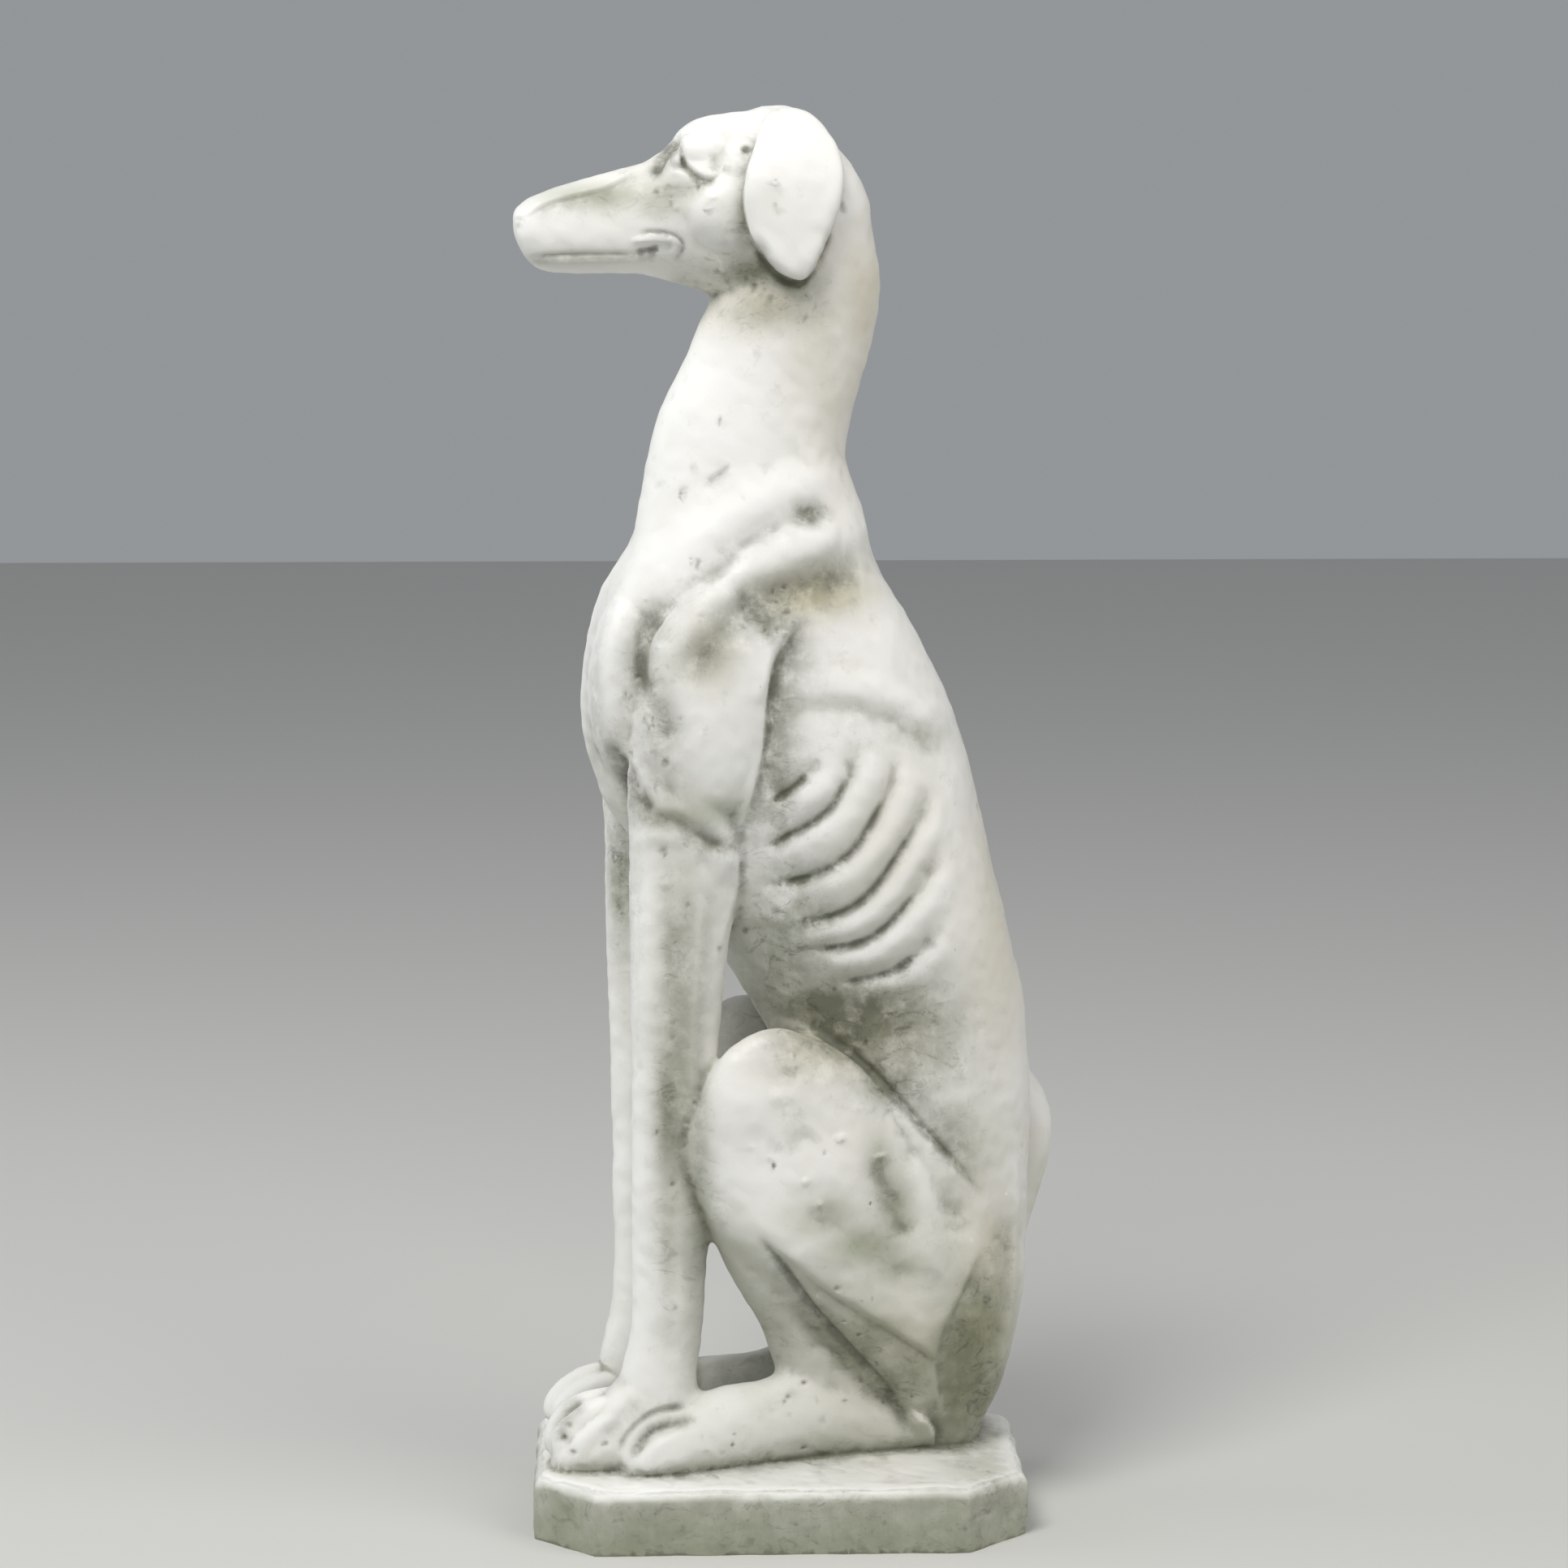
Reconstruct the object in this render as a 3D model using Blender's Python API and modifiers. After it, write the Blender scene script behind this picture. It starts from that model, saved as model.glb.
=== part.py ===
"""A sitting greyhound on a low plinth, cast in one piece of pale stone.

Metres, +Z up. The origin is the middle of the plinth's underside and the dog looks along -X.
The dog's forms are written in figure units: x to the rear, y to the dog's right, z up from the
plinth's top, and 744 units from there to the top of the head. One unit is 1 mm at this size.
"""

import math

import bmesh
import bpy
import numpy as np

# Driving sizes
HEIGHT = 0.780
PLINTH_LENGTH = 0.272
PLINTH_WIDTH = 0.186
PLINTH_HEIGHT = 0.036
PLINTH_CORNER = 0.034
PLINTH_EDGE_RADIUS = 0.008
FIGURE_SHIFT = 0.010
FIGURE_TURN = math.radians(5.0)

# The fineness of the modelled surface
GRAIN = 0.0032
MASS_SOFTNESS = 0.0050
DETAIL_SOFTNESS = 0.0022
TRIANGLES = 9400

FIGURE_UNITS_HIGH = 744.0
UNIT = (HEIGHT - PLINTH_HEIGHT) / FIGURE_UNITS_HIGH
SECTION_POINTS = 28
SPHERE_RINGS = 16
PLINTH_EDGE_SEGMENTS = 4
SMOOTHING_FACTOR = 0.5
# Paired forms are written for the dog's left, where y is below 0
LEFT, RIGHT = 1, -1
STEPS_BETWEEN_ROWS = 4
STEPS_BETWEEN_PATH_POINTS = 12

# Upright forms: z, front x, back x, middle y, half width, and how much wider the back is
TRUNK = [
    (-4, 66, 112, 0, 30, 0.0),
    (12, 60, 119, 0, 35, 0.0),
    (30, 56, 128, 0, 39, 0.0),
    (58, 50, 135, 0, 42, 0.0),
    (95, 42, 140, 0, 45, 0.0),
    (133, 34, 142, 0, 47, 0.0),
    (170, 24, 143, 0, 48, 0.0),
    (205, 12, 143, 0, 49, 0.0),
    (230, -3, 141, 0, 50, 0.05),
    (250, -14, 139, 0, 52, 0.08),
    (274, -30, 134, 0, 55, 0.12),
    (299, -48, 128, 0, 58, 0.15),
    (329, -70, 120, 0, 60, 0.18),
    (359, -93, 113, 0, 60, 0.18),
    (377, -101, 109, 0, 60, 0.16),
    (395, -107, 104, 0, 59, 0.14),
    (413, -109, 98, 0, 58, 0.12),
    (427, -109, 92, 0, 57, 0.10),
    (445, -107, 83, 0, 56, 0.08),
    (463, -103, 73, 0, 54, 0.05),
    (480, -97, 63, 0, 52, 0.0),
    (494, -88, 55, 0, 49, 0.0),
    (508, -80, 50, 0, 45, 0.0),
    (523, -77, 48, 0, 41, 0.0),
    (537, -74, 43, 0, 38, 0.0),
    (553, -71, 38, 0, 35, 0.0),
    (577, -65, 42, 0, 33, 0.0),
    (600, -53, 49, 0, 32, 0.0),
    (626, -42, 55, 0, 32, 0.0),
    (648, -30, 57, 0, 32, 0.0),
    (670, -18, 54, 0, 31, 0.0),
    (692, -10, 49, 0, 28, 0.0),
    (709, -5, 42, 0, 22, 0.0),
    (720, 2, 32, 0, 13, 0.0),
]
HAUNCH = [
    (244, -14, 0, -52, 5, 0.0),
    (240, -25, 10, -51, 10, 0.0),
    (232, -36, 24, -49, 15, 0.0),
    (219, -44, 42, -47, 20, 0.1),
    (204, -51, 58, -45, 23, 0.15),
    (186, -55, 74, -43, 25, 0.2),
    (166, -54, 90, -41, 28, 0.15),
    (150, -49, 104, -39, 30, 0.1),
    (136, -42, 122, -37, 31, 0.0),
    (122, -32, 136, -35, 32, 0.0),
    (105, -14, 139, -33, 31, 0.0),
    (77, 12, 137, -29, 29, 0.0),
    (49, 38, 131, -25, 25, 0.0),
    (24, 60, 122, -21, 20, 0.0),
    (6, 74, 114, -18, 16, 0.0),
    (-4, 78, 110, -17, 14, 0.0),
]
SHIN = [
    (190, -46, -18, -56, 8, 0.0),
    (180, -51, -13, -56, 11, 0.0),
    (165, -52, -11, -55, 14, 0.0),
    (147, -48, -11, -52, 17, 0.0),
    (131, -42, -11, -48, 18, 0.0),
    (115, -36, -4, -44, 18, 0.0),
    (92, -24, 12, -39, 17, 0.0),
    (74, -13, 27, -35, 16, 0.0),
    (55, -7, 43, -31, 16, 0.0),
    (40, 0, 54, -29, 15, 0.0),
    (20, 20, 66, -26, 14, 0.0),
]
FORELEG = [
    (400, -86, -40, -42, 14, 0.0),
    (372, -87, -30, -42, 20, 0.0),
    (344, -86, -26, -41, 21, 0.0),
    (324, -86, -26, -40, 21, 0.0),
    (297, -86, -30, -40, 20, 0.0),
    (265, -86, -34, -40, 19, 0.0),
    (230, -85, -37, -40, 18, 0.0),
    (190, -85, -39, -40, 18, 0.0),
    (150, -85, -41, -40, 18, 0.0),
    (120, -85, -43, -40, 18, 0.0),
    (94, -85, -45, -40, 18, 0.0),
    (71, -87, -47, -40, 18.5, 0.0),
    (52, -92, -49, -40, 19.5, 0.0),
    (30, -96, -50, -40, 20, 0.0),
    (-6, -98, -50, -40, 20, 0.0),
]
EAR = [
    (649, 4, 11, -39, 3, 0.0),
    (653, -4, 15, -40, 5, 0.0),
    (661, -11, 18, -41, 6, 0.0),
    (673, -18, 22, -41, 6.5, 0.0),
    (688, -21, 28, -41, 6.5, 0.0),
    (703, -21, 31, -39, 7, 0.0),
    (716, -17, 30, -34, 7, 0.0),
    (727, -12, 25, -27, 7, 0.0),
    (736, -6, 17, -19, 6, 0.0),
    (740, 0, 9, -13, 4, 0.0),
]

# Lying forms: x, bottom z, top z, middle y, half width, and how much wider the top is
HEAD = [
    (-143.5, 675, 685, 0, 7, 0.0),
    (-141, 667, 688, 0, 10.5, 0.0),
    (-136, 658, 691, 0, 13, 0.0),
    (-127, 652, 695.5, 0, 14, 0.0),
    (-116, 651, 699.5, 0, 15, -0.05),
    (-102, 651, 703, 0, 16.5, -0.08),
    (-87, 651, 707, 0, 18.5, -0.08),
    (-72, 650, 712, 0, 21, -0.05),
    (-62, 648, 719, 0, 24, 0.0),
    (-54, 646, 728, 0, 27, 0.0),
    (-45, 643, 734, 0, 29, 0.0),
    (-31, 637, 737, 0, 32, 0.0),
    (-11, 634, 740, 0, 34.5, 0.05),
    (4, 634, 742, 0, 35.5, 0.05),
    (17, 636, 736, 0, 34, 0.0),
    (30, 642, 723, 0, 30, 0.0),
    (43, 655, 707, 0, 22, 0.0),
    (51, 668, 690, 0, 12, 0.0),
]
FORE_PAW = [
    (-131, -6, 8, -39, 9, 0.0),
    (-124, -6, 18, -40, 17, 0.0),
    (-108, -6, 32, -41, 21, -0.1),
    (-92, -6, 46, -41, 22, -0.15),
    (-76, -6, 57, -40, 21, -0.1),
    (-58, -6, 52, -40, 18, 0.0),
    (-49, -6, 40, -40, 14, 0.0),
]
HIND_FOOT = [
    (-92, -6, 7, -52, 12, 0.0),
    (-86, -6, 16, -52, 19, 0.0),
    (-74, -6, 27, -51, 22, -0.1),
    (-60, -6, 36, -49, 23, -0.15),
    (-36, -6, 43, -44, 21, -0.15),
    (-15, -6, 45, -40, 18, -0.1),
    (10, -6, 51, -35, 17, 0.0),
    (38, -6, 50, -30, 15, 0.0),
    (62, -6, 40, -26, 14, 0.0),
    (76, -6, 32, -24, 11, 0.0),
    (83, 2, 20, -23, 6, 0.0),
]

# Rounded masses: centre, half sizes, and the tilt of the long way back from upright, in degrees
SHOULDER = ((-46, -44, 418), (37, 24, 72), -8)
ELBOW = ((-39, -49, 340), (11, 12, 18), 0)
BREAST = ((-84, -20, 428), (22, 26, 52), 0)
BLADE = ((-4, -34, 500), (34, 12, 24), 25)
CHEEK = ((-27, -28, 684), (23, 10, 20), 0)
BROW = ((-40, -15, 716), (17, 11, 12), 0)
EYEBALL = ((-56, -19.5, 712), (3.8, 4.2, 4.4), 0)

# The tail's middle line and radii, from its root on the plinth to its tip
TAIL = [
    (104, 14, -4, 12),
    (112, 22, 14, 12.5),
    (122, 30, 45, 13),
    (130, 35, 85, 13),
    (137, 36, 115, 13),
    (145, 35, 140, 13),
    (149, 33, 160, 13),
    (149, 33, 176, 12.5),
    (143, 36, 190, 12),
    (132, 40, 199, 11),
    (118, 44, 204, 9),
    (106, 46, 205, 7.5),
]

# Toes of each paw: how far out from its middle, how far back the tip starts, and share of full height
FORE_TOES = [(-13, 13, 0.8), (-4, 4, 0.96), (5, 0, 1.0), (13, 4, 0.9)]
HIND_TOES = [(-13, 8, 0.74), (-5, 1, 0.97), (4, 0, 1.0), (12, 4, 0.9)]
# One toe's middle line: how far back from the tip, how high, and its radius
FORE_TOE = [(0, 7, 7), (0, 16, 7.5), (5, 23, 7.6), (14, 29, 7.6), (26, 33, 7), (40, 34, 5.5), (52, 34, 4)]
HIND_TOE = [(0, 6, 7), (1, 12, 7.3), (6, 18, 7.4), (13, 23, 7.4), (24, 28, 7), (40, 29, 6), (54, 28, 4)]
# Where a paw's toes start: x of the tips, y of the paw's middle, and how they gather
FORE_TIPS = (-127, -41, 0.9)
HIND_TIPS = (-89, -53, 0.85)
HIND_TOES_LEAN = 7.0
# How far the knees turn out toward the front: y for each unit of x
KNEE_SPLAY = 0.25
# Below 1, a section's sides are flatter and its edges are fuller
EAR_FULLNESS = 0.65
# What the two sides don't share: where legs and paws stand along x, how legs lean, how high feet are
FORELEG_SHIFT = {LEFT: 0.0, RIGHT: -2.0}
FORELEG_LEAN = {LEFT: 0.0, RIGHT: -0.014}
FORE_PAW_SHIFT = {LEFT: 0.0, RIGHT: 5.0}
FORE_PAW_RISE = {LEFT: 1.08, RIGHT: 0.92}
SHIN_SHIFT = {LEFT: 0.0, RIGHT: 5.0}
HIND_FOOT_RISE = {LEFT: 1.0, RIGHT: 0.86}

# Carved lines on both flanks, as paths in x and z. A groove sinks and a ridge rises. An edge stands
# up on the left of its path and carries on there. Each holds: kind, path, size and half width
SIDE_CARVING = {
    "shoulder's front ridge": ("ridge", [(40, 549), (-9, 532), (-44, 513), (-75, 495), (-97, 440)], 2.8, 11),
    "shoulder's front groove": ("groove", [(14, 523), (-52, 481), (-78, 440), (-66, 396)], 3.0, 9),
    "blade's crest": ("ridge", [(66, 508), (26, 508), (-26, 492), (-53, 464), (-63, 425)], 2.8, 9),
    "groove behind the blade": ("groove", [(40, 489), (-6, 481), (-37, 463), (-55, 432)], 4.6, 9),
    "upper arm's rear edge": ("edge", [(-26, 350), (-16, 379), (-12, 428), (0, 460), (16, 476)], 3.4, 15),
    "fold above the elbow": ("groove", [(-88, 376), (-64, 361), (-37, 346), (-27, 345)], 2.2, 5),
    "breast muscle's edge": ("groove", [(-97, 403), (-86, 384), (-73, 362)], 2.6, 6),
    "back muscle's edge": ("groove", [(91, 388), (49, 415), (-9, 418)], 1.5, 9),
    "rib cage's belly edge": ("ridge", [(-12, 322), (18, 288), (54, 264)], 2.0, 10),
    "thigh's upper edge": ("edge", [(102, 153), (75, 181), (35, 224), (-4, 243)], 3.6, 14),
    "thigh's hollow": ("groove", [(44, 178), (60, 141), (70, 120)], 2.6, 10),
    "hollow above the thigh's lower edge": ("groove", [(8, 150), (29, 135), (55, 115), (75, 108)], 2.0, 10),
    "thigh's lower edge": ("edge", [(-16, 130), (14, 106), (47, 83), (77, 61), (88, 48)], 2.6, 13),
    "thigh's rear edge": ("edge", [(90, 18), (83, 46), (84, 70), (96, 93), (110, 120)], 2.4, 12),
    "hamstring's groove": ("groove", [(-17, 131), (-5, 114), (12, 89), (32, 66), (52, 44), (66, 14)], 4.0, 5),
    "eyelid's lower edge": ("edge", [(-54, 724), (-51, 709), (-34, 703)], 2.4, 7),
    "crease in front of the eye": ("groove", [(-53, 725), (-61, 715), (-67, 704)], 3.8, 3),
    "crease along the muzzle": ("edge", [(-140, 681), (-113, 692), (-81, 704)], 1.2, 5),
    "mouth": ("groove", [(-137, 660), (-106, 662), (-64, 664)], 1.8, 2.5),
}
RIB_GROOVES = [
    [(12, 394), (10, 382), (-10, 369)],
    [(38, 401), (24, 366), (-12, 344)],
    [(60, 397), (40, 346), (-11, 323)],
    [(79, 374), (56, 332), (4, 301)],
    [(85, 341), (62, 304), (13, 287)],
    [(84, 299), (62, 276), (29, 268)],
]
RIB_DEPTH, RIB_HALF_WIDTH = 3.0, 5.6
# Between two grooves a rib's band rises, this far behind its groove and below it
RIB_RISE, RIB_RISE_WIDTH = 1.6, 7.5
RIB_BAND = (8, -6)
PATH_STEP = 2.5
# A stroke's reach in half widths, and the shares that shape its ends and an edge's step
REACH = 4.5
END_FADE_WIDTHS, END_FADE_SHARE, END_STRENGTH = 2.0, 0.2, 0.15
EDGE_SHARPNESS, EDGE_CARRY, EDGE_SINK = 0.3, 2.0, 0.3

STONE_COLOUR = (0.76, 0.75, 0.70, 1.0)
STONE_ROUGHNESS = 0.7
# How far the plinth is modelled below its underside, where it's then cut off
CUT_BELOW = 0.010
CUT_TOLERANCE = 0.000001
# Carved lines act on faces whose turn toward the flank is past the first value, and fully past the second
FACING_FROM, FACING_TO = 0.10, 0.45


def to_world(points):
    """Figure units to metres in the statue's own frame."""
    points = np.asarray(points, float) * UNIT
    cos, sin = math.cos(FIGURE_TURN), math.sin(FIGURE_TURN)
    turned = points @ np.array([[cos, sin, 0], [-sin, cos, 0], [0, 0, 1]])
    return turned + (0, FIGURE_SHIFT, PLINTH_HEIGHT)


def to_figure(points):
    """Metres in the statue's own frame back to figure units."""
    cos, sin = math.cos(FIGURE_TURN), math.sin(FIGURE_TURN)
    moved = np.asarray(points, float) - (0, FIGURE_SHIFT, PLINTH_HEIGHT)
    return moved @ np.array([[cos, -sin, 0], [sin, cos, 0], [0, 0, 1]]) / UNIT


def smooth_through(rows, steps):
    """Rows of values on a smooth curve through the given rows."""
    rows = np.asarray(rows, float)
    padded = np.vstack([2 * rows[0] - rows[1], rows, 2 * rows[-1] - rows[-2]])
    curve = []
    for before, start, end, after in zip(padded, padded[1:], padded[2:], padded[3:]):
        for step in range(steps):
            t = step / steps
            bend = 2 * before - 5 * start + 4 * end - after
            twist = 3 * start - before - 3 * end + after
            curve.append(start + 0.5 * t * (end - before + bend * t + twist * t * t))
    curve.append(rows[-1])
    return np.array(curve)


def skin(bm, rings):
    """A closed body through the rings, with a flat cap at each end."""
    loops = [[bm.verts.new(point) for point in to_world(ring)] for ring in rings]
    count = len(loops[0])
    faces = [bm.faces.new(loops[0][::-1]), bm.faces.new(loops[-1])]
    for low, high in zip(loops, loops[1:]):
        for i in range(count):
            j = (i + 1) % count
            faces.append(bm.faces.new((low[i], low[j], high[j], high[i])))
    bmesh.ops.recalc_face_normals(bm, faces=faces)


def round_angles():
    return np.linspace(0, 2 * math.pi, SECTION_POINTS, endpoint=False)


def upright_form(bm, rows, side=LEFT, shift=0.0, lean=0.0, splay=0.0, fullness=1.0):
    """A form given by level sections, on the dog's left or mirrored to its right."""
    across, along = np.sin(round_angles()), np.cos(round_angles())
    across = np.sign(across) * np.abs(across) ** fullness
    rings = []
    for z, front, back, middle, half, swell in smooth_through(rows, STEPS_BETWEEN_ROWS):
        x = (front + back) / 2 + (back - front) / 2 * along + shift + lean * z
        turned_out = splay * (back - front) / 2 * along
        y = side * (middle + turned_out + half * across * (1 + swell * along))
        rings.append(np.column_stack([x, y, np.full_like(x, z)]))
    skin(bm, rings)


def lying_form(bm, rows, side=LEFT, shift=0.0, rise=1.0):
    """A form given by sections square to X: rise makes it lower or higher."""
    across, along = np.sin(round_angles()), np.cos(round_angles())
    rings = []
    for x, bottom, top, middle, half, swell in smooth_through(rows, STEPS_BETWEEN_ROWS):
        z = rise * ((bottom + top) / 2 + (top - bottom) / 2 * along)
        y = side * (middle + half * across * (1 + swell * along))
        rings.append(np.column_stack([np.full_like(z, x + shift), y, z]))
    skin(bm, rings)


def rounded_mass(bm, mass, side=LEFT):
    """An egg-shaped mass, from a sphere stretched to its half sizes and tilted."""
    (x, y, z), radii, tilt = mass
    made = bmesh.ops.create_uvsphere(bm, u_segments=SECTION_POINTS, v_segments=SPHERE_RINGS, radius=1.0)
    angle = math.radians(tilt)
    for vert in made["verts"]:
        dx, dy, dz = (value * radius for value, radius in zip(vert.co, radii))
        turned_x = dx * math.cos(angle) - dz * math.sin(angle)
        turned_z = dx * math.sin(angle) + dz * math.cos(angle)
        vert.co = to_world([(x + turned_x, side * (y + dy), z + turned_z)])[0]
    if side == RIGHT:
        faces = {face for vert in made["verts"] for face in vert.link_faces}
        bmesh.ops.reverse_faces(bm, faces=list(faces))


def tube(bm, rows):
    """A round tube along a path of x, y, z and radius."""
    path = smooth_through(rows, STEPS_BETWEEN_ROWS)
    ways = np.gradient(path[:, :3], axis=0)
    rings = []
    for (x, y, z, radius), way in zip(path, ways):
        way = way / np.linalg.norm(way)
        across = np.cross(way, (0, 1, 0))
        across /= np.linalg.norm(across)
        out = np.cross(way, across)
        angle = round_angles()[:, None]
        rings.append((x, y, z) + radius * (np.cos(angle) * across + np.sin(angle) * out))
    skin(bm, rings)


def toes(bm, placing, table, line, side, shift=0.0, rise=1.0, lean=0.0):
    """Four toes over the front of a paw, which draw together toward the ankle by lean."""
    tip_x, middle_y, gather = placing
    for outward, back, share_of_height in table:
        tall = rise * share_of_height
        rows = []
        for along, z, radius in line:
            share = along / line[-1][0]
            y = middle_y + outward * (1 - (1 - gather) * share) + lean * share
            rows.append((tip_x + shift + back + along, side * y, z * tall, radius))
        tube(bm, rows)


def plinth(bm):
    """The block under the dog, with its corners cut and its top edge rounded."""
    half_length, half_width = PLINTH_LENGTH / 2, PLINTH_WIDTH / 2
    plan = []
    for across, along in ((1, 1), (-1, 1), (-1, -1), (1, -1)):
        on_end = (across * half_length, along * (half_width - PLINTH_CORNER))
        on_side = (across * (half_length - PLINTH_CORNER), along * half_width)
        plan += [on_end, on_side] if across * along > 0 else [on_side, on_end]
    bottom = bm.faces.new([bm.verts.new((x, y, -CUT_BELOW)) for x, y in plan])
    raised = bmesh.ops.extrude_face_region(bm, geom=[bottom])["geom"]
    top = [item for item in raised if isinstance(item, bmesh.types.BMVert)]
    bmesh.ops.translate(bm, verts=top, vec=(0, 0, PLINTH_HEIGHT + CUT_BELOW))
    edges = {edge for vert in top for edge in vert.link_edges if edge.other_vert(vert) in top}
    rounding = {"offset": PLINTH_EDGE_RADIUS, "segments": PLINTH_EDGE_SEGMENTS, "affect": "EDGES"}
    bmesh.ops.bevel(bm, geom=list(edges), **rounding)
    bmesh.ops.recalc_face_normals(bm, faces=bm.faces[:])


def fused(name, bm, softness):
    """One closed skin over all the forms in bm, softened where they meet."""
    mesh = bpy.data.meshes.new(name)
    bm.to_mesh(mesh)
    bm.free()
    shell = bpy.data.objects.new(name, mesh)
    bpy.context.scene.collection.objects.link(shell)
    remesh = shell.modifiers.new("one skin", "REMESH")
    remesh.mode = "VOXEL"
    remesh.voxel_size = GRAIN
    smooth = shell.modifiers.new("softened", "SMOOTH")
    smooth.factor = SMOOTHING_FACTOR
    smooth.iterations = max(1, round((2 * softness / GRAIN) ** 2))
    return frozen(shell)


def frozen(shell):
    """The mesh that the object's modifiers make. The object itself is removed."""
    graph = bpy.context.evaluated_depsgraph_get()
    mesh = bpy.data.meshes.new_from_object(shell.evaluated_get(graph))
    bpy.data.objects.remove(shell)
    return mesh


def dog_masses():
    bm = bmesh.new()
    upright_form(bm, TRUNK)
    lying_form(bm, HEAD)
    for side in (LEFT, RIGHT):
        upright_form(bm, HAUNCH, side, splay=KNEE_SPLAY)
        upright_form(bm, SHIN, side, SHIN_SHIFT[side])
        upright_form(bm, FORELEG, side, FORELEG_SHIFT[side], FORELEG_LEAN[side])
        lying_form(bm, FORE_PAW, side, FORE_PAW_SHIFT[side], FORE_PAW_RISE[side])
        lying_form(bm, HIND_FOOT, side, rise=HIND_FOOT_RISE[side])
        for mass in (SHOULDER, ELBOW, BREAST, BLADE, CHEEK):
            rounded_mass(bm, mass, side)
    return fused("dog masses", bm, MASS_SOFTNESS)


def dog_on_plinth():
    """The softened masses with the smaller forms and the plinth fused on."""
    bm = bmesh.new()
    plinth(bm)
    bm.from_mesh(dog_masses())
    tube(bm, TAIL)
    for side in (LEFT, RIGHT):
        upright_form(bm, EAR, side, fullness=EAR_FULLNESS)
        rounded_mass(bm, BROW, side)
        rounded_mass(bm, EYEBALL, side)
        toes(bm, FORE_TIPS, FORE_TOES, FORE_TOE, side, FORE_PAW_SHIFT[side], FORE_PAW_RISE[side])
        toes(bm, HIND_TIPS, HIND_TOES, HIND_TOE, side, rise=HIND_FOOT_RISE[side], lean=HIND_TOES_LEAN)
    return fused("dog on plinth", bm, DETAIL_SOFTNESS)


def read_vectors(items, attribute):
    values = np.empty(len(items) * 3, np.float32)
    items.foreach_get(attribute, values)
    return values.reshape(-1, 3).astype(float)


def stroke_field(flat, path, half_width):
    """Which points a stroke reaches, how far left of its line each lies, and how strongly it acts."""
    line = smooth_through(path, STEPS_BETWEEN_PATH_POINTS)
    lengths = np.concatenate([[0], np.cumsum(np.linalg.norm(np.diff(line, axis=0), axis=1))])
    even = np.linspace(0, lengths[-1], round(lengths[-1] / PATH_STEP) + 2)
    line = np.column_stack([np.interp(even, lengths, line[:, k]) for k in (0, 1)])
    ways = np.gradient(line, axis=0)
    ways /= np.linalg.norm(ways, axis=1)[:, None]
    fade_over = max(END_FADE_WIDTHS * half_width, END_FADE_SHARE * lengths[-1])
    fade = np.clip(np.minimum(even, lengths[-1] - even) / fade_over + END_STRENGTH, 0, 1)
    margin = REACH * half_width
    inside = np.flatnonzero(np.all((flat > line.min(0) - margin) & (flat < line.max(0) + margin), axis=1))
    gaps = np.linalg.norm(flat[inside][:, None, :] - line[None, :, :], axis=2)
    nearest = gaps.argmin(axis=1)
    offset = flat[inside] - line[nearest]
    way = ways[nearest]
    left = way[:, 0] * offset[:, 1] - way[:, 1] * offset[:, 0]
    beyond = np.abs((way * offset).sum(axis=1))
    return inside, left, fade[nearest] * np.exp(-((beyond / half_width) ** 2))


def lift_of(kind, left, size, half_width):
    """How far a stroke moves the surface outward at a distance left of its line."""
    bell = np.exp(-((left / half_width) ** 2))
    if kind == "groove":
        return -size * bell
    if kind == "ridge":
        return size * bell
    standing = 0.5 + 0.5 * np.tanh(left / (EDGE_SHARPNESS * half_width))
    carried = np.exp(-((left / (EDGE_CARRY * half_width)) ** 2))
    return size * (standing * carried - EDGE_SINK * (1 - standing) * bell)


def carve_sides(mesh):
    """Sinks or raises the carved lines on both flanks, each along the surface's own normals."""
    points = read_vectors(mesh.vertices, "co")
    normals = read_vectors(mesh.vertex_normals, "vector")
    figure = to_figure(points)
    outward = to_figure(normals + (0, FIGURE_SHIFT, PLINTH_HEIGHT))[:, 1] * UNIT
    strokes = list(SIDE_CARVING.values())
    for path in RIB_GROOVES:
        band = [(x + RIB_BAND[0], z + RIB_BAND[1]) for x, z in path]
        strokes.append(("groove", path, RIB_DEPTH, RIB_HALF_WIDTH))
        strokes.append(("ridge", band, RIB_RISE, RIB_RISE_WIDTH))
    lift = np.zeros(len(points))
    for side in (LEFT, RIGHT):
        facing = np.clip((-side * outward - FACING_FROM) / (FACING_TO - FACING_FROM), 0, 1)
        picked = np.flatnonzero((facing > 0) & (side * figure[:, 1] < 0))
        flat = figure[picked][:, [0, 2]]
        for kind, path, size, half_width in strokes:
            inside, left, strength = stroke_field(flat, path, half_width)
            where = picked[inside]
            lift[where] += lift_of(kind, left, size, half_width) * strength * facing[where]
    points += normals * (lift * UNIT)[:, None]
    mesh.vertices.foreach_set("co", points.astype(np.float32).ravel())
    mesh.update()


def true_height(mesh):
    """Stretches the dog a little, because softening lowers the top of its head."""
    points = read_vectors(mesh.vertices, "co")
    above = points[:, 2] - PLINTH_HEIGHT
    stretch = (HEIGHT - PLINTH_HEIGHT) / above.max()
    points[:, 2] = np.where(above > 0, PLINTH_HEIGHT + above * stretch, points[:, 2])
    mesh.vertices.foreach_set("co", points.astype(np.float32).ravel())
    mesh.update()


def simplified(mesh):
    shell = bpy.data.objects.new("fine surface", mesh)
    bpy.context.scene.collection.objects.link(shell)
    mesh.calc_loop_triangles()
    fewer = shell.modifiers.new("fewer faces", "DECIMATE")
    fewer.ratio = TRIANGLES / len(mesh.loop_triangles)
    fewer.use_collapse_triangulate = True
    return frozen(shell)


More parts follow.
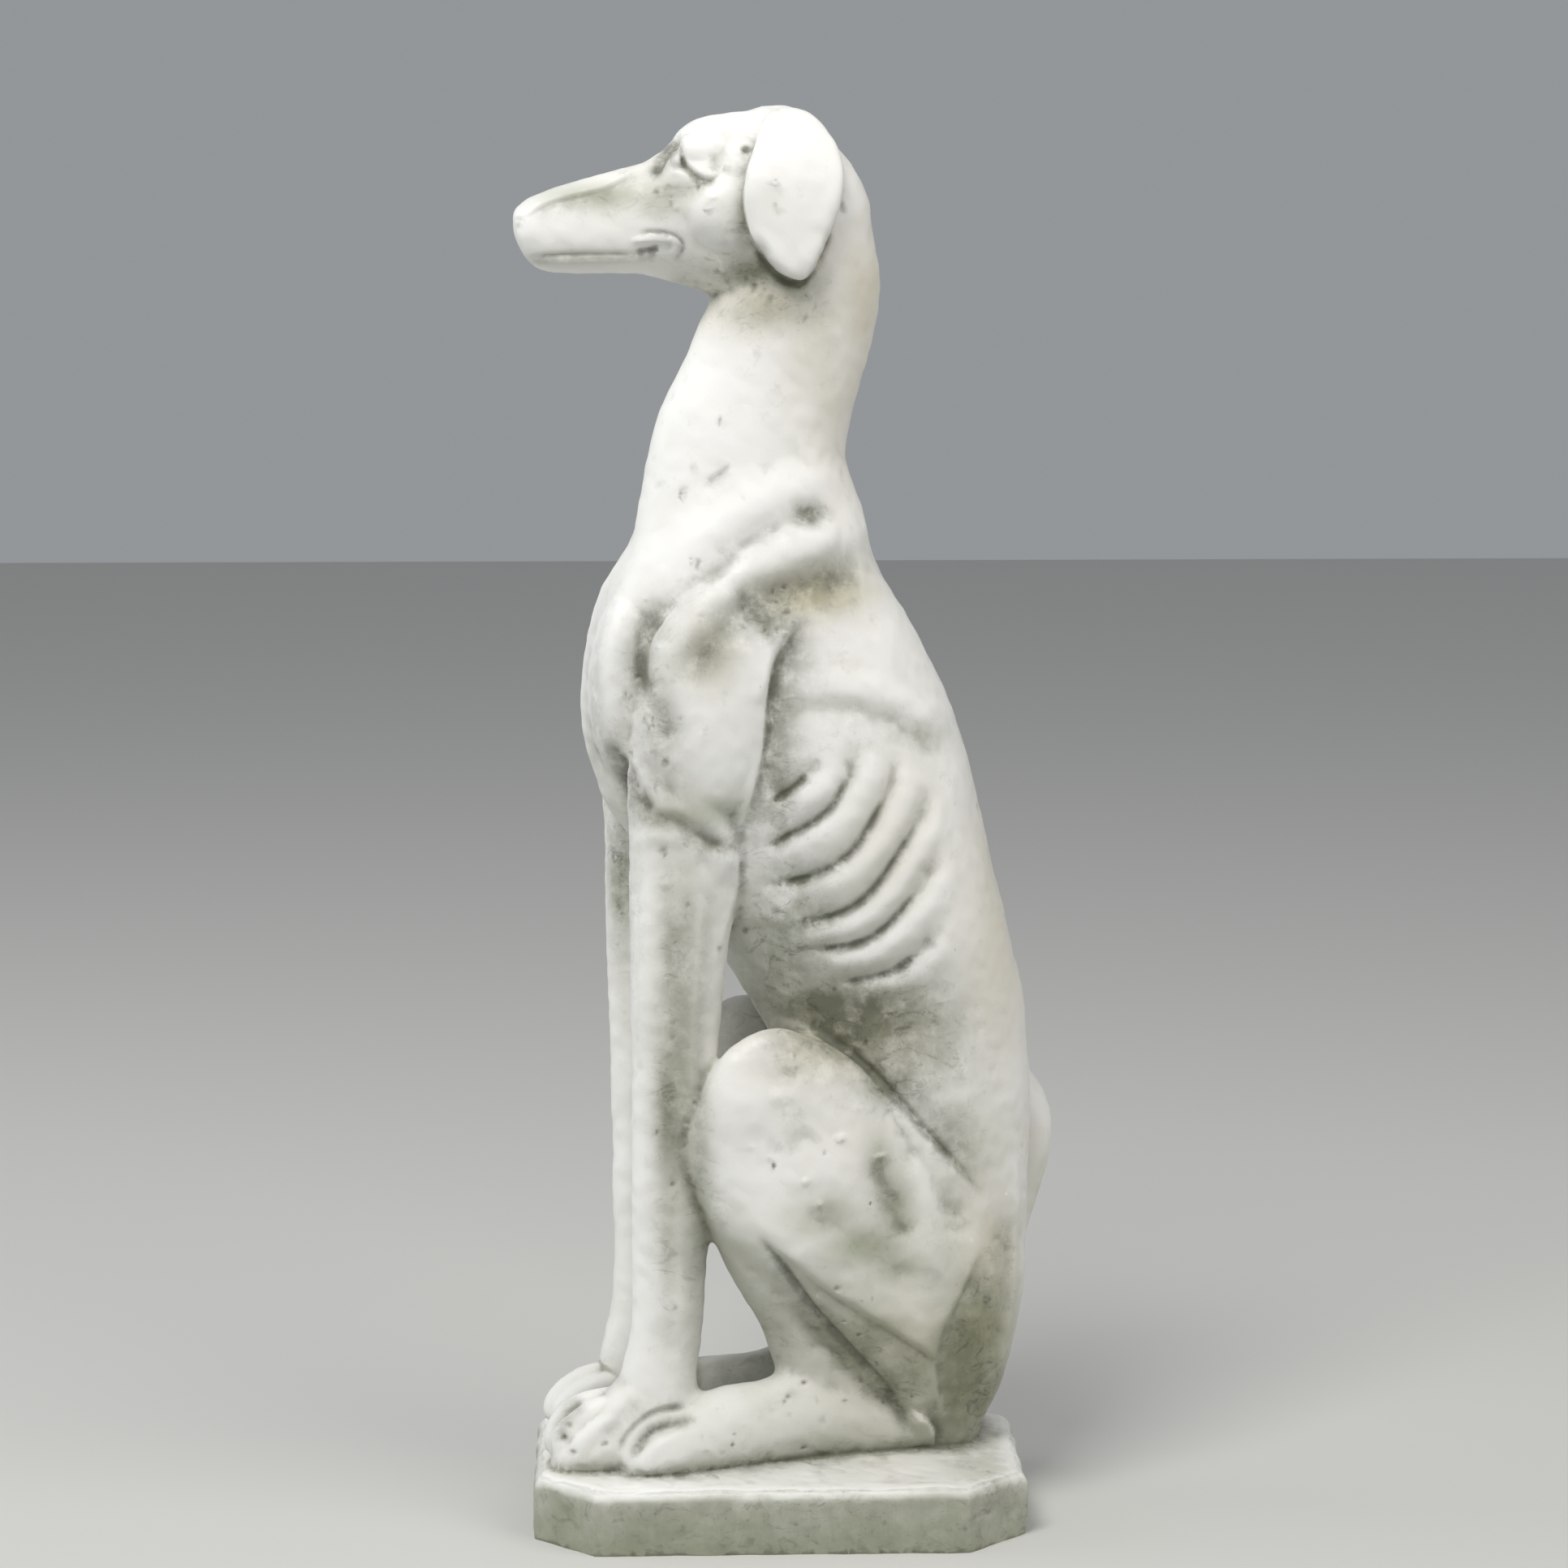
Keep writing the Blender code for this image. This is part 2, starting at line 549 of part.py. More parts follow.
def flat_underside(mesh):
    """Cuts the plinth off level at z = 0 and closes the cut."""
    bm = bmesh.new()
    bm.from_mesh(mesh)
    everything = bm.verts[:] + bm.edges[:] + bm.faces[:]
    level = {"plane_co": (0, 0, 0), "plane_no": (0, 0, 1), "dist": CUT_TOLERANCE}
    bmesh.ops.bisect_plane(bm, geom=everything, clear_inner=True, **level)
    rim = [edge for edge in bm.edges if edge.is_boundary]
    bmesh.ops.contextual_create(bm, geom=rim)
    bmesh.ops.triangulate(bm, faces=[face for face in bm.faces if len(face.verts) > 3])
    bm.to_mesh(mesh)
    bm.free()


def stone():
    material = bpy.data.materials.new("cast_stone")
    material.use_nodes = True
    shader = material.node_tree.nodes["Principled BSDF"]
    shader.inputs["Base Color"].default_value = STONE_COLOUR
    shader.inputs["Roughness"].default_value = STONE_ROUGHNESS
    shader.inputs["Metallic"].default_value = 0.0
    return material


def main():
    for old in list(bpy.data.objects):
        bpy.data.objects.remove(old)
    mesh = dog_on_plinth()
    carve_sides(mesh)
    true_height(mesh)
    mesh = simplified(mesh)
    flat_underside(mesh)
    mesh.name = "sitting_greyhound"
    mesh.shade_smooth()
    mesh.materials.append(stone())
    statue = bpy.data.objects.new("sitting_greyhound", mesh)
    collection = bpy.data.collections.new("greyhound_statue")
    bpy.context.scene.collection.children.link(collection)
    collection.objects.link(statue)


main()
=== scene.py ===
"""Dresses the sitting greyhound: fine carving, weathered cast stone with painted shade, floor, light and
camera.

The dog's forms are the solid's own, in figure units: x to the rear, y to the dog's right, z up from
the plinth's top, and 744 units from there to the top of the head. One unit is 1 mm at this size.
"""

import math

import bmesh
import bpy
import numpy as np
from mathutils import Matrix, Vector


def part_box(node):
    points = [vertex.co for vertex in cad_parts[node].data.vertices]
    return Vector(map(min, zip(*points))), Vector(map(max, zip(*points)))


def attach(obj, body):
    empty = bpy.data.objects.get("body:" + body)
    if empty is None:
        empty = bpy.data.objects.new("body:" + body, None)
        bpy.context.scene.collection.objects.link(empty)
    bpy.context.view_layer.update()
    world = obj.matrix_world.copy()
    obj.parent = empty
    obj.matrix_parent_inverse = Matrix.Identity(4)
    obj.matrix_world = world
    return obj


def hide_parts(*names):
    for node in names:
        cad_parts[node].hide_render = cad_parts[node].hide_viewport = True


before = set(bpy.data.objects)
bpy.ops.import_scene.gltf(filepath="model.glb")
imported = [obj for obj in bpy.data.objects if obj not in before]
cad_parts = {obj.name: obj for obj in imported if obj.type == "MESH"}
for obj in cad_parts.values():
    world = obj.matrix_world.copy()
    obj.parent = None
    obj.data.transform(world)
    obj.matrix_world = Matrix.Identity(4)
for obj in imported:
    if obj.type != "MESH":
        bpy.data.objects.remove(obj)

NODE = "sitting_greyhound"
SOLID_LOW, SOLID_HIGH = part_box(NODE)
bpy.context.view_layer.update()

# Driving sizes in metres: the solid's box gives the height over all and the plinth's width
HEIGHT = SOLID_HIGH[2]
PLINTH_LENGTH = 0.272
PLINTH_WIDTH = SOLID_HIGH[1] - SOLID_LOW[1]
PLINTH_HEIGHT = 0.036
PLINTH_CORNER = 0.034
PLINTH_EDGE_RADIUS = 0.008
FIGURE_SHIFT = 0.010
FIGURE_TURN = math.radians(5.0)

FIGURE_UNITS_HIGH = 744.0
UNIT = (HEIGHT - PLINTH_HEIGHT) / FIGURE_UNITS_HIGH
MASS_GRAIN = 0.0018
FINE_GRAIN = 0.0012
MASS_SOFTNESS = 0.0048
DETAIL_SOFTNESS = 0.0013
SMOOTHING_FACTOR = 0.5
TRIANGLES = 190000
SECTION_POINTS = 40
SPHERE_SEGMENTS = 40
SPHERE_RINGS = 28
PLINTH_EDGE_SEGMENTS = 6
PLINTH_EDGE_PROFILE = 0.5
STEPS_BETWEEN_ROWS = 6
STEPS_BETWEEN_PATH_POINTS = 12
PATH_STEP = 1.2
SHORTEST_PATH_POINTS = 8
# How far the plinth is modelled below its underside, where it's then cut off
CUT_BELOW = 0.010
CUT_TOLERANCE = 0.000001
# A stroke's reach in half widths, and the shares that shape its ends and an edge's step
REACH = 4.5
END_FADE_WIDTHS, END_FADE_SHARE, END_STRENGTH = 1.5, 0.18, 0.1
EDGE_SHARPNESS, EDGE_CARRY, EDGE_SINK = 0.14, 2, 0.3
# Dirt spreads past a stroke by this factor, and a spot is felt within this many half sizes
DIRT_SPREAD, SPOT_REACH = 1.3, 3
# Carved lines act where the surface's turn toward the flank is past the first value, fully past the second
FACING_FROM, FACING_TO = 0.05, 0.40
# On the head and the feet the lines reach further round
HEAD_FROM, FEET_TO = 640, 62
FINE_FACING_FROM, FINE_FACING_TO = -0.04, 0.20
# Paired forms are written for the dog's left, where y is below 0
LEFT, RIGHT = 1, -1

# Upright forms: z, front x, back x, middle y, half width, and how much wider the back is
TRUNK = [
    (-4, 66, 112, 0, 30, 0.0),
    (12, 60, 119, 0, 35, 0.0),
    (30, 56, 128, 0, 39, 0.0),
    (58, 50, 135, 0, 42, 0.0),
    (95, 42, 140, 0, 45, 0.0),
    (133, 34, 142, 0, 47, 0.0),
    (170, 24, 143, 0, 48, 0.0),
    (205, 12, 143, 0, 49, 0.0),
    (230, -3, 141, 0, 50, 0.05),
    (250, -14, 139, 0, 52, 0.08),
    (274, -30, 134, 0, 55, 0.12),
    (299, -48, 128, 0, 58, 0.15),
    (329, -70, 120, 0, 60, 0.18),
    (359, -93, 113, 0, 60, 0.18),
    (377, -101, 109, 0, 60, 0.16),
    (395, -107, 104, 0, 59, 0.14),
    (413, -109, 98, 0, 58, 0.12),
    (427, -109, 92, 0, 57, 0.10),
    (445, -107, 83, 0, 56, 0.08),
    (463, -103, 73, 0, 54, 0.05),
    (480, -97, 63, 0, 52, 0.0),
    (494, -88, 55, 0, 49, 0.0),
    (508, -80, 50, 0, 45, 0.0),
    (523, -77, 48, 0, 41, 0.0),
    (537, -74, 43, 0, 38, 0.0),
    (553, -71, 38, 0, 35, 0.0),
    (577, -65, 42, 0, 33, 0.0),
    (600, -53, 49, 0, 32, 0.0),
    (626, -42, 55, 0, 32, 0.0),
    (648, -30, 57, 0, 32, 0.0),
    (670, -18, 54, 0, 31, 0.0),
    (692, -10, 49, 0, 28, 0.0),
    (709, -5, 42, 0, 22, 0.0),
    (720, 2, 32, 0, 13, 0.0),
]
HAUNCH = [
    (244, -14, 0, -52, 5, 0.0),
    (240, -25, 10, -51, 10, 0.0),
    (232, -36, 24, -49, 15, 0.0),
    (219, -44, 42, -47, 20, 0.1),
    (204, -51, 58, -45, 23, 0.15),
    (186, -55, 74, -43, 25, 0.2),
    (166, -54, 90, -41, 28, 0.15),
    (150, -49, 104, -39, 30, 0.1),
    (136, -42, 122, -37, 31, 0.0),
    (122, -32, 136, -35, 32, 0.0),
    (105, -14, 139, -33, 31, 0.0),
    (77, 12, 137, -29, 29, 0.0),
    (49, 38, 131, -25, 25, 0.0),
    (24, 60, 122, -21, 20, 0.0),
    (6, 74, 114, -18, 16, 0.0),
    (-4, 78, 110, -17, 14, 0.0),
]
SHIN = [
    (190, -46, -18, -56, 8, 0.0),
    (180, -51, -13, -56, 11, 0.0),
    (165, -52, -11, -55, 14, 0.0),
    (147, -48, -11, -52, 17, 0.0),
    (131, -42, -11, -48, 18, 0.0),
    (115, -36, -4, -44, 18, 0.0),
    (92, -24, 12, -39, 17, 0.0),
    (74, -13, 27, -35, 16, 0.0),
    (55, -7, 43, -31, 16, 0.0),
    (40, 0, 54, -29, 15, 0.0),
    (20, 20, 66, -26, 14, 0.0),
]
FORELEG = [
    (400, -86, -40, -42, 14, 0.0),
    (372, -87, -30, -42, 20, 0.0),
    (344, -86, -26, -41, 21, 0.0),
    (324, -86, -26, -40, 21, 0.0),
    (297, -86, -30, -40, 20, 0.0),
    (265, -86, -34, -40, 19, 0.0),
    (230, -85, -37, -40, 18, 0.0),
    (190, -85, -39, -40, 18, 0.0),
    (150, -85, -41, -40, 18, 0.0),
    (120, -85, -43, -40, 18, 0.0),
    (94, -85, -45, -40, 18, 0.0),
    (71, -87, -47, -40, 18.5, 0.0),
    (52, -92, -49, -40, 19.5, 0.0),
    (30, -96, -50, -40, 20, 0.0),
    (-6, -98, -50, -40, 20, 0.0),
]
EAR = [
    (649, 4, 11, -39, 3, 0.0),
    (653, -4, 15, -40, 5, 0.0),
    (661, -11, 18, -41, 6, 0.0),
    (673, -18, 22, -41, 6.5, 0.0),
    (688, -21, 28, -41, 6.5, 0.0),
    (703, -21, 31, -39, 7, 0.0),
    (716, -17, 30, -34, 7, 0.0),
    (727, -12, 25, -27, 7, 0.0),
    (736, -6, 17, -19, 6, 0.0),
    (740, 0, 9, -13, 4, 0.0),
]

# Lying forms: x, bottom z, top z, middle y, half width, and how much wider the top is
HEAD = [
    (-143.5, 675, 685, 0, 7, 0.0),
    (-141, 667, 688, 0, 10.5, 0.0),
    (-136, 658, 691, 0, 13, 0.0),
    (-127, 652, 695.5, 0, 14, 0.0),
    (-116, 651, 699.5, 0, 15, -0.05),
    (-102, 651, 703, 0, 16.5, -0.08),
    (-87, 651, 707, 0, 18.5, -0.08),
    (-72, 650, 712, 0, 21, -0.05),
    (-62, 648, 719, 0, 24, 0.0),
    (-54, 646, 728, 0, 27, 0.0),
    (-45, 643, 734, 0, 29, 0.0),
    (-31, 637, 737, 0, 32, 0.0),
    (-11, 634, 740, 0, 34.5, 0.05),
    (4, 634, 742, 0, 35.5, 0.05),
    (17, 636, 736, 0, 34, 0.0),
    (30, 642, 723, 0, 30, 0.0),
    (43, 655, 707, 0, 22, 0.0),
    (51, 668, 690, 0, 12, 0.0),
]
FORE_PAW = [
    (-131, -6, 8, -39, 9, 0.0),
    (-124, -6, 18, -40, 17, 0.0),
    (-108, -6, 32, -41, 21, -0.1),
    (-92, -6, 46, -41, 22, -0.15),
    (-76, -6, 57, -40, 21, -0.1),
    (-58, -6, 52, -40, 18, 0.0),
    (-49, -6, 40, -40, 14, 0.0),
]
HIND_FOOT = [
    (-92, -6, 7, -52, 12, 0.0),
    (-86, -6, 16, -52, 19, 0.0),
    (-74, -6, 27, -51, 22, -0.1),
    (-60, -6, 36, -49, 23, -0.15),
    (-36, -6, 43, -44, 21, -0.15),
    (-15, -6, 45, -40, 18, -0.1),
    (10, -6, 51, -35, 17, 0.0),
    (38, -6, 50, -30, 15, 0.0),
    (62, -6, 40, -26, 14, 0.0),
    (76, -6, 32, -24, 11, 0.0),
    (83, 2, 20, -23, 6, 0.0),
]

# Rounded masses: centre, half sizes, and the tilt of the long way back from upright, in degrees
SHOULDER = ((-46, -44, 418), (37, 24, 72), -8)
ELBOW = ((-39, -49, 340), (11, 12, 18), 0)
BREAST = ((-84, -20, 428), (22, 26, 52), 0)
BLADE = ((-4, -34, 500), (34, 12, 24), 25)
CHEEK = ((-27, -28, 684), (23, 10, 20), 0)
BROW = ((-40, -15, 716), (17, 11, 12), 0)
EYEBALL = ((-56.5, -20, 712), (4.2, 4.8, 4.8), 0)

# The tail's middle line and radii, from its root on the plinth to its tip
TAIL = [
    (104, 14, -4, 12),
    (112, 22, 14, 12.5),
    (122, 30, 45, 13),
    (130, 35, 85, 13),
    (137, 36, 115, 13),
    (145, 35, 140, 13),
    (149, 33, 160, 13),
    (149, 33, 176, 12.5),
    (143, 36, 190, 12),
    (132, 40, 199, 11),
    (118, 44, 204, 9),
    (106, 46, 205, 7.5),
]

# Toes of each paw: how far out from its middle, how far back the tip starts, and share of full height
FORE_TOES = [(-13, 13, 0.8), (-4, 4, 0.96), (5, 0, 1.0), (13, 4, 0.9)]
HIND_TOES = [(-13, 8, 0.74), (-5, 1, 0.97), (4, 0, 1.0), (12, 4, 0.9)]
# One toe's middle line: how far back from the tip, how high, and its radius
FORE_TOE = [(0, 7, 7), (0, 16, 7.5), (5, 23, 7.6), (14, 29, 7.6), (26, 33, 7), (40, 34, 5.5), (52, 34, 4)]
HIND_TOE = [(0, 6, 7), (1, 12, 7.3), (6, 18, 7.4), (13, 23, 7.4), (24, 28, 7), (40, 29, 6), (54, 28, 4)]
# Where a paw's toes start: x of the tips, y of the paw's middle, and how they gather
FORE_TIPS = (-127, -41, 0.9)
HIND_TIPS = (-89, -53, 0.85)
HIND_TOES_LEAN = 7.0
# How far the knees turn out toward the front: y for each unit of x
KNEE_SPLAY = 0.25
# Below 1, a section's sides are flatter and its edges are fuller
EAR_FULLNESS = 0.65
# What the two sides don't share: where legs and paws stand along x, how legs lean, how high feet are
FORELEG_SHIFT = {LEFT: 0.0, RIGHT: -2.0}
FORELEG_LEAN = {LEFT: 0.0, RIGHT: -0.014}
FORE_PAW_SHIFT = {LEFT: 0.0, RIGHT: 5.0}
FORE_PAW_RISE = {LEFT: 1.08, RIGHT: 0.92}
SHIN_SHIFT = {LEFT: 0.0, RIGHT: 5.0}
HIND_FOOT_RISE = {LEFT: 1.0, RIGHT: 0.86}

# Carved lines on both flanks, as paths in x and z. A groove sinks and a ridge rises. An edge stands
# up on the left of its path and carries on there. Each row: kind, path, size, half width, dirt
SHOULDER_LINES = [
    ("ridge", [(40, 549), (20, 543), (-9, 532), (-44, 513), (-75, 495), (-91, 473), (-97, 448), (-97, 420)],
     2.6, 12, 0.0),
    ("groove", [(26, 524), (13, 523), (-5, 517), (-21, 509), (-35, 497), (-52, 481), (-68, 462)],
     2.2, 8, 0.2),
    ("groove", [(-60, 478), (-78, 459), (-82, 443), (-76, 428), (-68, 412), (-66, 392)], 2.6, 8, 0.35),
    ("ridge", [(66, 508), (48, 512), (26, 508), (4, 502), (-12, 497), (-28, 491), (-43, 480),
               (-53, 464), (-59, 444)],
     2.3, 11, 0.0),
    ("groove", [(44, 490), (32, 488), (14, 485), (-6, 481), (-24, 474), (-37, 463), (-47, 449), (-55, 432)],
     4.4, 11, 0.55),
    ("ridge", [(12, 476), (6, 470), (-1, 464), (-8, 455), (-14, 441), (-18, 424)], 1.8, 5, 0.0),
    ("edge", [(-27, 350), (-23, 362), (-18, 380), (-14, 402), (-12, 428), (-8, 446), (0, 460), (10, 471)],
     3.0, 15, 0.7),
    ("groove", [(-90, 380), (-76, 363), (-64, 361), (-51, 354), (-37, 346), (-24, 344)], 2.6, 4.6, 0.6),
    ("ridge", [(-84, 352), (-64, 351), (-52, 345), (-42, 338)], 1.2, 6, 0.0),
    ("ridge", [(-31, 344), (-29, 330), (-31, 314), (-37, 290)], 0.9, 2.2, 0.0),
    ("groove", [(-97, 403), (-92, 393), (-86, 384), (-80, 372), (-73, 362)], 2.6, 4, 0.7),
    ("groove", [(-84, 504), (-101, 465), (-105, 440), (-103, 412), (-99, 386), (-94, 372)], 1.8, 4, 0.35),
    ("groove", [(-62, 424), (-69, 410), (-70, 396), (-66, 382), (-59, 368)], 1.4, 8, 0.3),
    ("groove", [(-29, 550), (-36, 545), (-42, 541)], 0.7, 1.6, 0.4),
    ("groove", [(-51, 537), (-57, 536)], 0.7, 1.4, 0.4),
]
BACK_LINES = [
    ("groove", [(91, 388), (66, 407), (49, 415), (27, 419), (10, 419), (-9, 418)], 2.0, 7, 0.2),
    ("ridge", [(88, 404), (60, 424), (30, 431), (4, 430)], 1.4, 9, 0.0),
    ("ridge", [(-12, 322), (4, 302), (18, 288), (34, 275), (54, 264)], 2.0, 10, 0.0),
    ("ridge", [(131, 172), (131, 110), (126, 60), (110, 8)], 0.9, 2.5, 0.0),
    ("ridge", [(30, 632), (36, 600), (38, 575)], 1.2, 9, 0.0),
]
HAUNCH_LINES = [
    ("edge", [(108, 146), (102, 154), (88, 171), (75, 184), (58, 204), (35, 226), (13, 240), (-4, 244)],
     3.6, 14, 0.4),
    ("groove", [(110, 146), (103, 155), (88, 172), (75, 186), (58, 206), (35, 228), (13, 241)],
     2.4, 2.4, 0.7),
    ("groove", [(-17, 132), (-5, 114), (12, 89), (32, 66), (45, 51), (56, 38), (63, 26), (67, 12)],
     2.0, 5.5, 0.4),
    ("groove", [(-18, 133), (-5, 115), (12, 89), (32, 66), (45, 51), (56, 38), (62, 28)], 2.4, 2.2, 0.8),
    ("edge", [(-17, 131), (-6, 123), (14, 106), (31, 94), (47, 83), (64, 71), (77, 61), (88, 48)],
     2.4, 13, 0.12),
    ("groove", [(8, 150), (18, 143), (29, 135), (41, 125), (55, 115), (75, 108)], 2.0, 10, 0.1),
    ("edge", [(85, 2), (84, 12), (79, 21), (70, 28)], 2.5, 6, 0.6),
    ("ridge", [(-44, 160), (-35, 128), (-20, 98)], 1.0, 5, 0.0),
    ("ridge", [(-14, 211), (4, 210)], 1.2, 4, 0.0),
    ("groove", [(44, 178), (52, 160), (60, 141), (70, 120)], 2.8, 10, 0.12),
    ("ridge", [(64, 172), (74, 150), (80, 124), (78, 98)], 1.8, 9, 0.0),
    ("edge", [(90, 18), (83, 46), (84, 70), (96, 93), (110, 120)], 1.4, 12, 0.2),
]
LEG_LINES = [
    ("groove", [(-58, 330), (-61, 250), (-62, 150)], 1.0, 8, 0.35),
    ("ridge", [(-79, 335), (-79, 220), (-78, 110)], 1.0, 5, 0.0),
    ("groove", [(-42, 330), (-48, 250), (-51, 150)], 0.8, 4, 0.3),
    ("groove", [(-51, 31), (-60, 29), (-69, 27), (-77, 24), (-84, 17), (-88, 10)], 2.2, 2.4, 0.5),
    ("groove", [(-55, 37), (-70, 35), (-79, 32), (-86, 27), (-92, 20), (-96, 12)], 1.5, 1.8, 0.4),
    ("groove", [(-111, 36), (-117, 34), (-121, 30), (-125, 23), (-126, 15)], 2.2, 3.2, 0.5),
    ("groove", [(-82, 42), (-88, 34), (-96, 27), (-104, 20)], 1.2, 5.0, 0.3),
]
FACE_LINES = [
    ("edge", [(-141, 681), (-135, 683), (-127, 688), (-113, 692), (-97, 696), (-81, 704), (-72, 709)],
     1.6, 5, 0.2),
    ("groove", [(-137, 660), (-127, 661), (-106, 662), (-78, 662)], 1.4, 1.4, 0.5),
    ("ridge", [(-130, 657), (-104, 658), (-72, 658)], 0.7, 1.8, 0.0),
    ("groove", [(-79, 663), (-72, 664), (-66, 665)], 2.4, 2.0, 0.7),
    ("ridge", [(-82, 669), (-73, 670), (-64, 670), (-59, 669), (-57, 665), (-60, 661)], 1.8, 1.8, 0.0),
    ("groove", [(-77, 673), (-69, 674), (-62, 673), (-56, 670), (-54, 665), (-57, 660)], 1.2, 1.5, 0.4),
    ("groove", [(-54, 726), (-59, 720), (-63, 715), (-66, 710), (-68, 704)], 4.0, 2.7, 1.0),
    ("edge", [(-54, 726), (-54, 718), (-52, 710), (-46, 704), (-41, 702), (-36, 702)], 2.6, 6.0, 0.0),
    ("groove", [(-54, 718), (-52, 710), (-46, 704), (-41, 702), (-35, 704)], 2.0, 1.1, 1.0),
    ("ridge", [(-62, 706), (-54, 705), (-48, 701)], 1.3, 2.4, 0.0),
    ("groove", [(-66, 698), (-56, 698), (-49, 698), (-42, 701)], 1.0, 2.4, 0.4),
    ("ridge", [(-17, 722), (-14, 729), (-9, 735), (-2, 740)], 2.6, 4.5, 0.0),
    ("edge", [(-14, 721), (-17, 714), (-20, 706), (-22, 692), (-20, 677), (-13, 664), (-6, 655), (3, 650),
              (10, 649), (15, 656), (20, 666), (25, 679), (30, 694), (32, 708), (30, 720)],
     2.0, 5.0, 0.12),
    ("groove", [(-16, 674), (-9, 659), (0, 650), (8, 648), (14, 652), (20, 663), (26, 679)], 1.6, 2.4, 0.5),
]
RIBS = [
    [(12, 394), (10, 385), (2, 377), (-10, 369)],
    [(38, 401), (32, 382), (19, 363), (-12, 344)],
    [(60, 397), (54, 372), (34, 342), (11, 328), (-11, 323)],
    [(79, 374), (70, 354), (45, 320), (26, 307), (4, 301)],
    [(85, 341), (71, 319), (52, 299), (36, 290), (13, 287)],
    [(84, 299), (71, 284), (54, 273), (29, 268)],
]
RIB_DEPTH, RIB_HALF_WIDTH, RIB_DIRT = 2.4, 5.6, 0.1
RIB_RISE, RIB_RISE_WIDTH = 1.6, 7.5
RIB_BAND = (8, -6)
# The lower end of each rib's groove is cut finer and holds the most dirt
RIB_CUT, RIB_CUT_WIDTH, RIB_CUT_DIRT = 1.8, 2.2, 0.85

# Dimples and bumps on both flanks: x, z, half sizes in x and z, depth (below 0 is raised), dirt
SPOTS = [
    (14, 523, 9, 6, 2.8, 0.8),
    (-10, 468, 14, 10, 1.5, 0.6),
    (-79, 442, 5, 18, 1.5, 0.7),
    (40, 250, 46, 26, 3.0, 0.6),
    (20, 172, 18, 14, -1.8, 0.0),
    (-24, 205, 18, 20, -1.5, 0.0),
    (-6, 222, 20, 6, 1.2, 0.1),
    (27, 185, 2.5, 2.0, -1.4, 0.2),
    (50, 173, 3.0, 1.6, -1.6, 0.3),
    (7, 163, 2.0, 2.0, -1.2, 0.1),
    (15, 150, 1.8, 1.8, -1.0, 0.1),
    (-64, 92, 18, 14, -1.2, 0.0),
    (75, 18, 7, 13, -2.4, 0.0),
    (-54, 717, 1.2, 1.0, 1.0, 0.6),
    (-20, 718, 2.3, 1.5, 3.4, 0.9),
    (-141, 680, 2.0, 1.5, 1.2, 0.5),
    (-121, 26, 2.2, 2.0, 1.4, 0.8),
    (33, 688, 1.6, 2.2, 1.0, 0.7),
    (-6, 701, 1.1, 1.1, 0.8, 0.5),
    (-6, 688, 1.1, 1.1, 0.8, 0.5),
    (-34, 574, 1.1, 1.6, 1.0, 0.7),
    (2, 40, 4, 3, -0.8, 0.2),
    (-48, 470, 2.0, 1.4, 1.0, 0.5),
    (-68, 392, 2.0, 2.0, 1.2, 0.6),
    (33, 238, 4.0, 3.0, -1.4, 0.4),
    (40, 231, 3.0, 2.0, -1.2, 0.4),
    (-124, 19, 1.6, 1.6, 1.4, 0.9),
]

# Small pits, bubbles and scabs, scattered at random: x and z of an area, its half sizes, and how many
ROUGH_AREAS = [
    (-6, 468, 16, 12, 26),
    (8, 478, 26, 8, 14),
    (-78, 430, 8, 40, 12),
    (-16, 645, 40, 16, 8),
    (-66, 230, 10, 110, 26),
    (-8, 300, 22, 40, 16),
    (34, 238, 40, 22, 18),
    (22, 168, 34, 24, 5),
    (-60, 694, 18, 12, 6),
    (-46, 520, 40, 40, 5),
    (20, 60, 50, 40, 14),
    (-20, 20, 90, 18, 16),
]
PIT_SIZES = (0.7, 1.7)
PIT_DEPTHS = (-0.8, 1.4)
PIT_SPREAD = 0.6
PIT_DIRT, SCAB_DIRT = 0.75, 0.3
PIT_SEED = 21
# The cast's soft unevenness: how far apart its swells are, the seed, and depths on the dog and plinth
WAVES = [(38, 5, 0.4, 0.8), (11, 8, 0.16, 0.22)]
WAVE_COUNT = 14
WAVE_LENGTHS = (0.7, 1.4)
WAVE_DIVISOR = 4
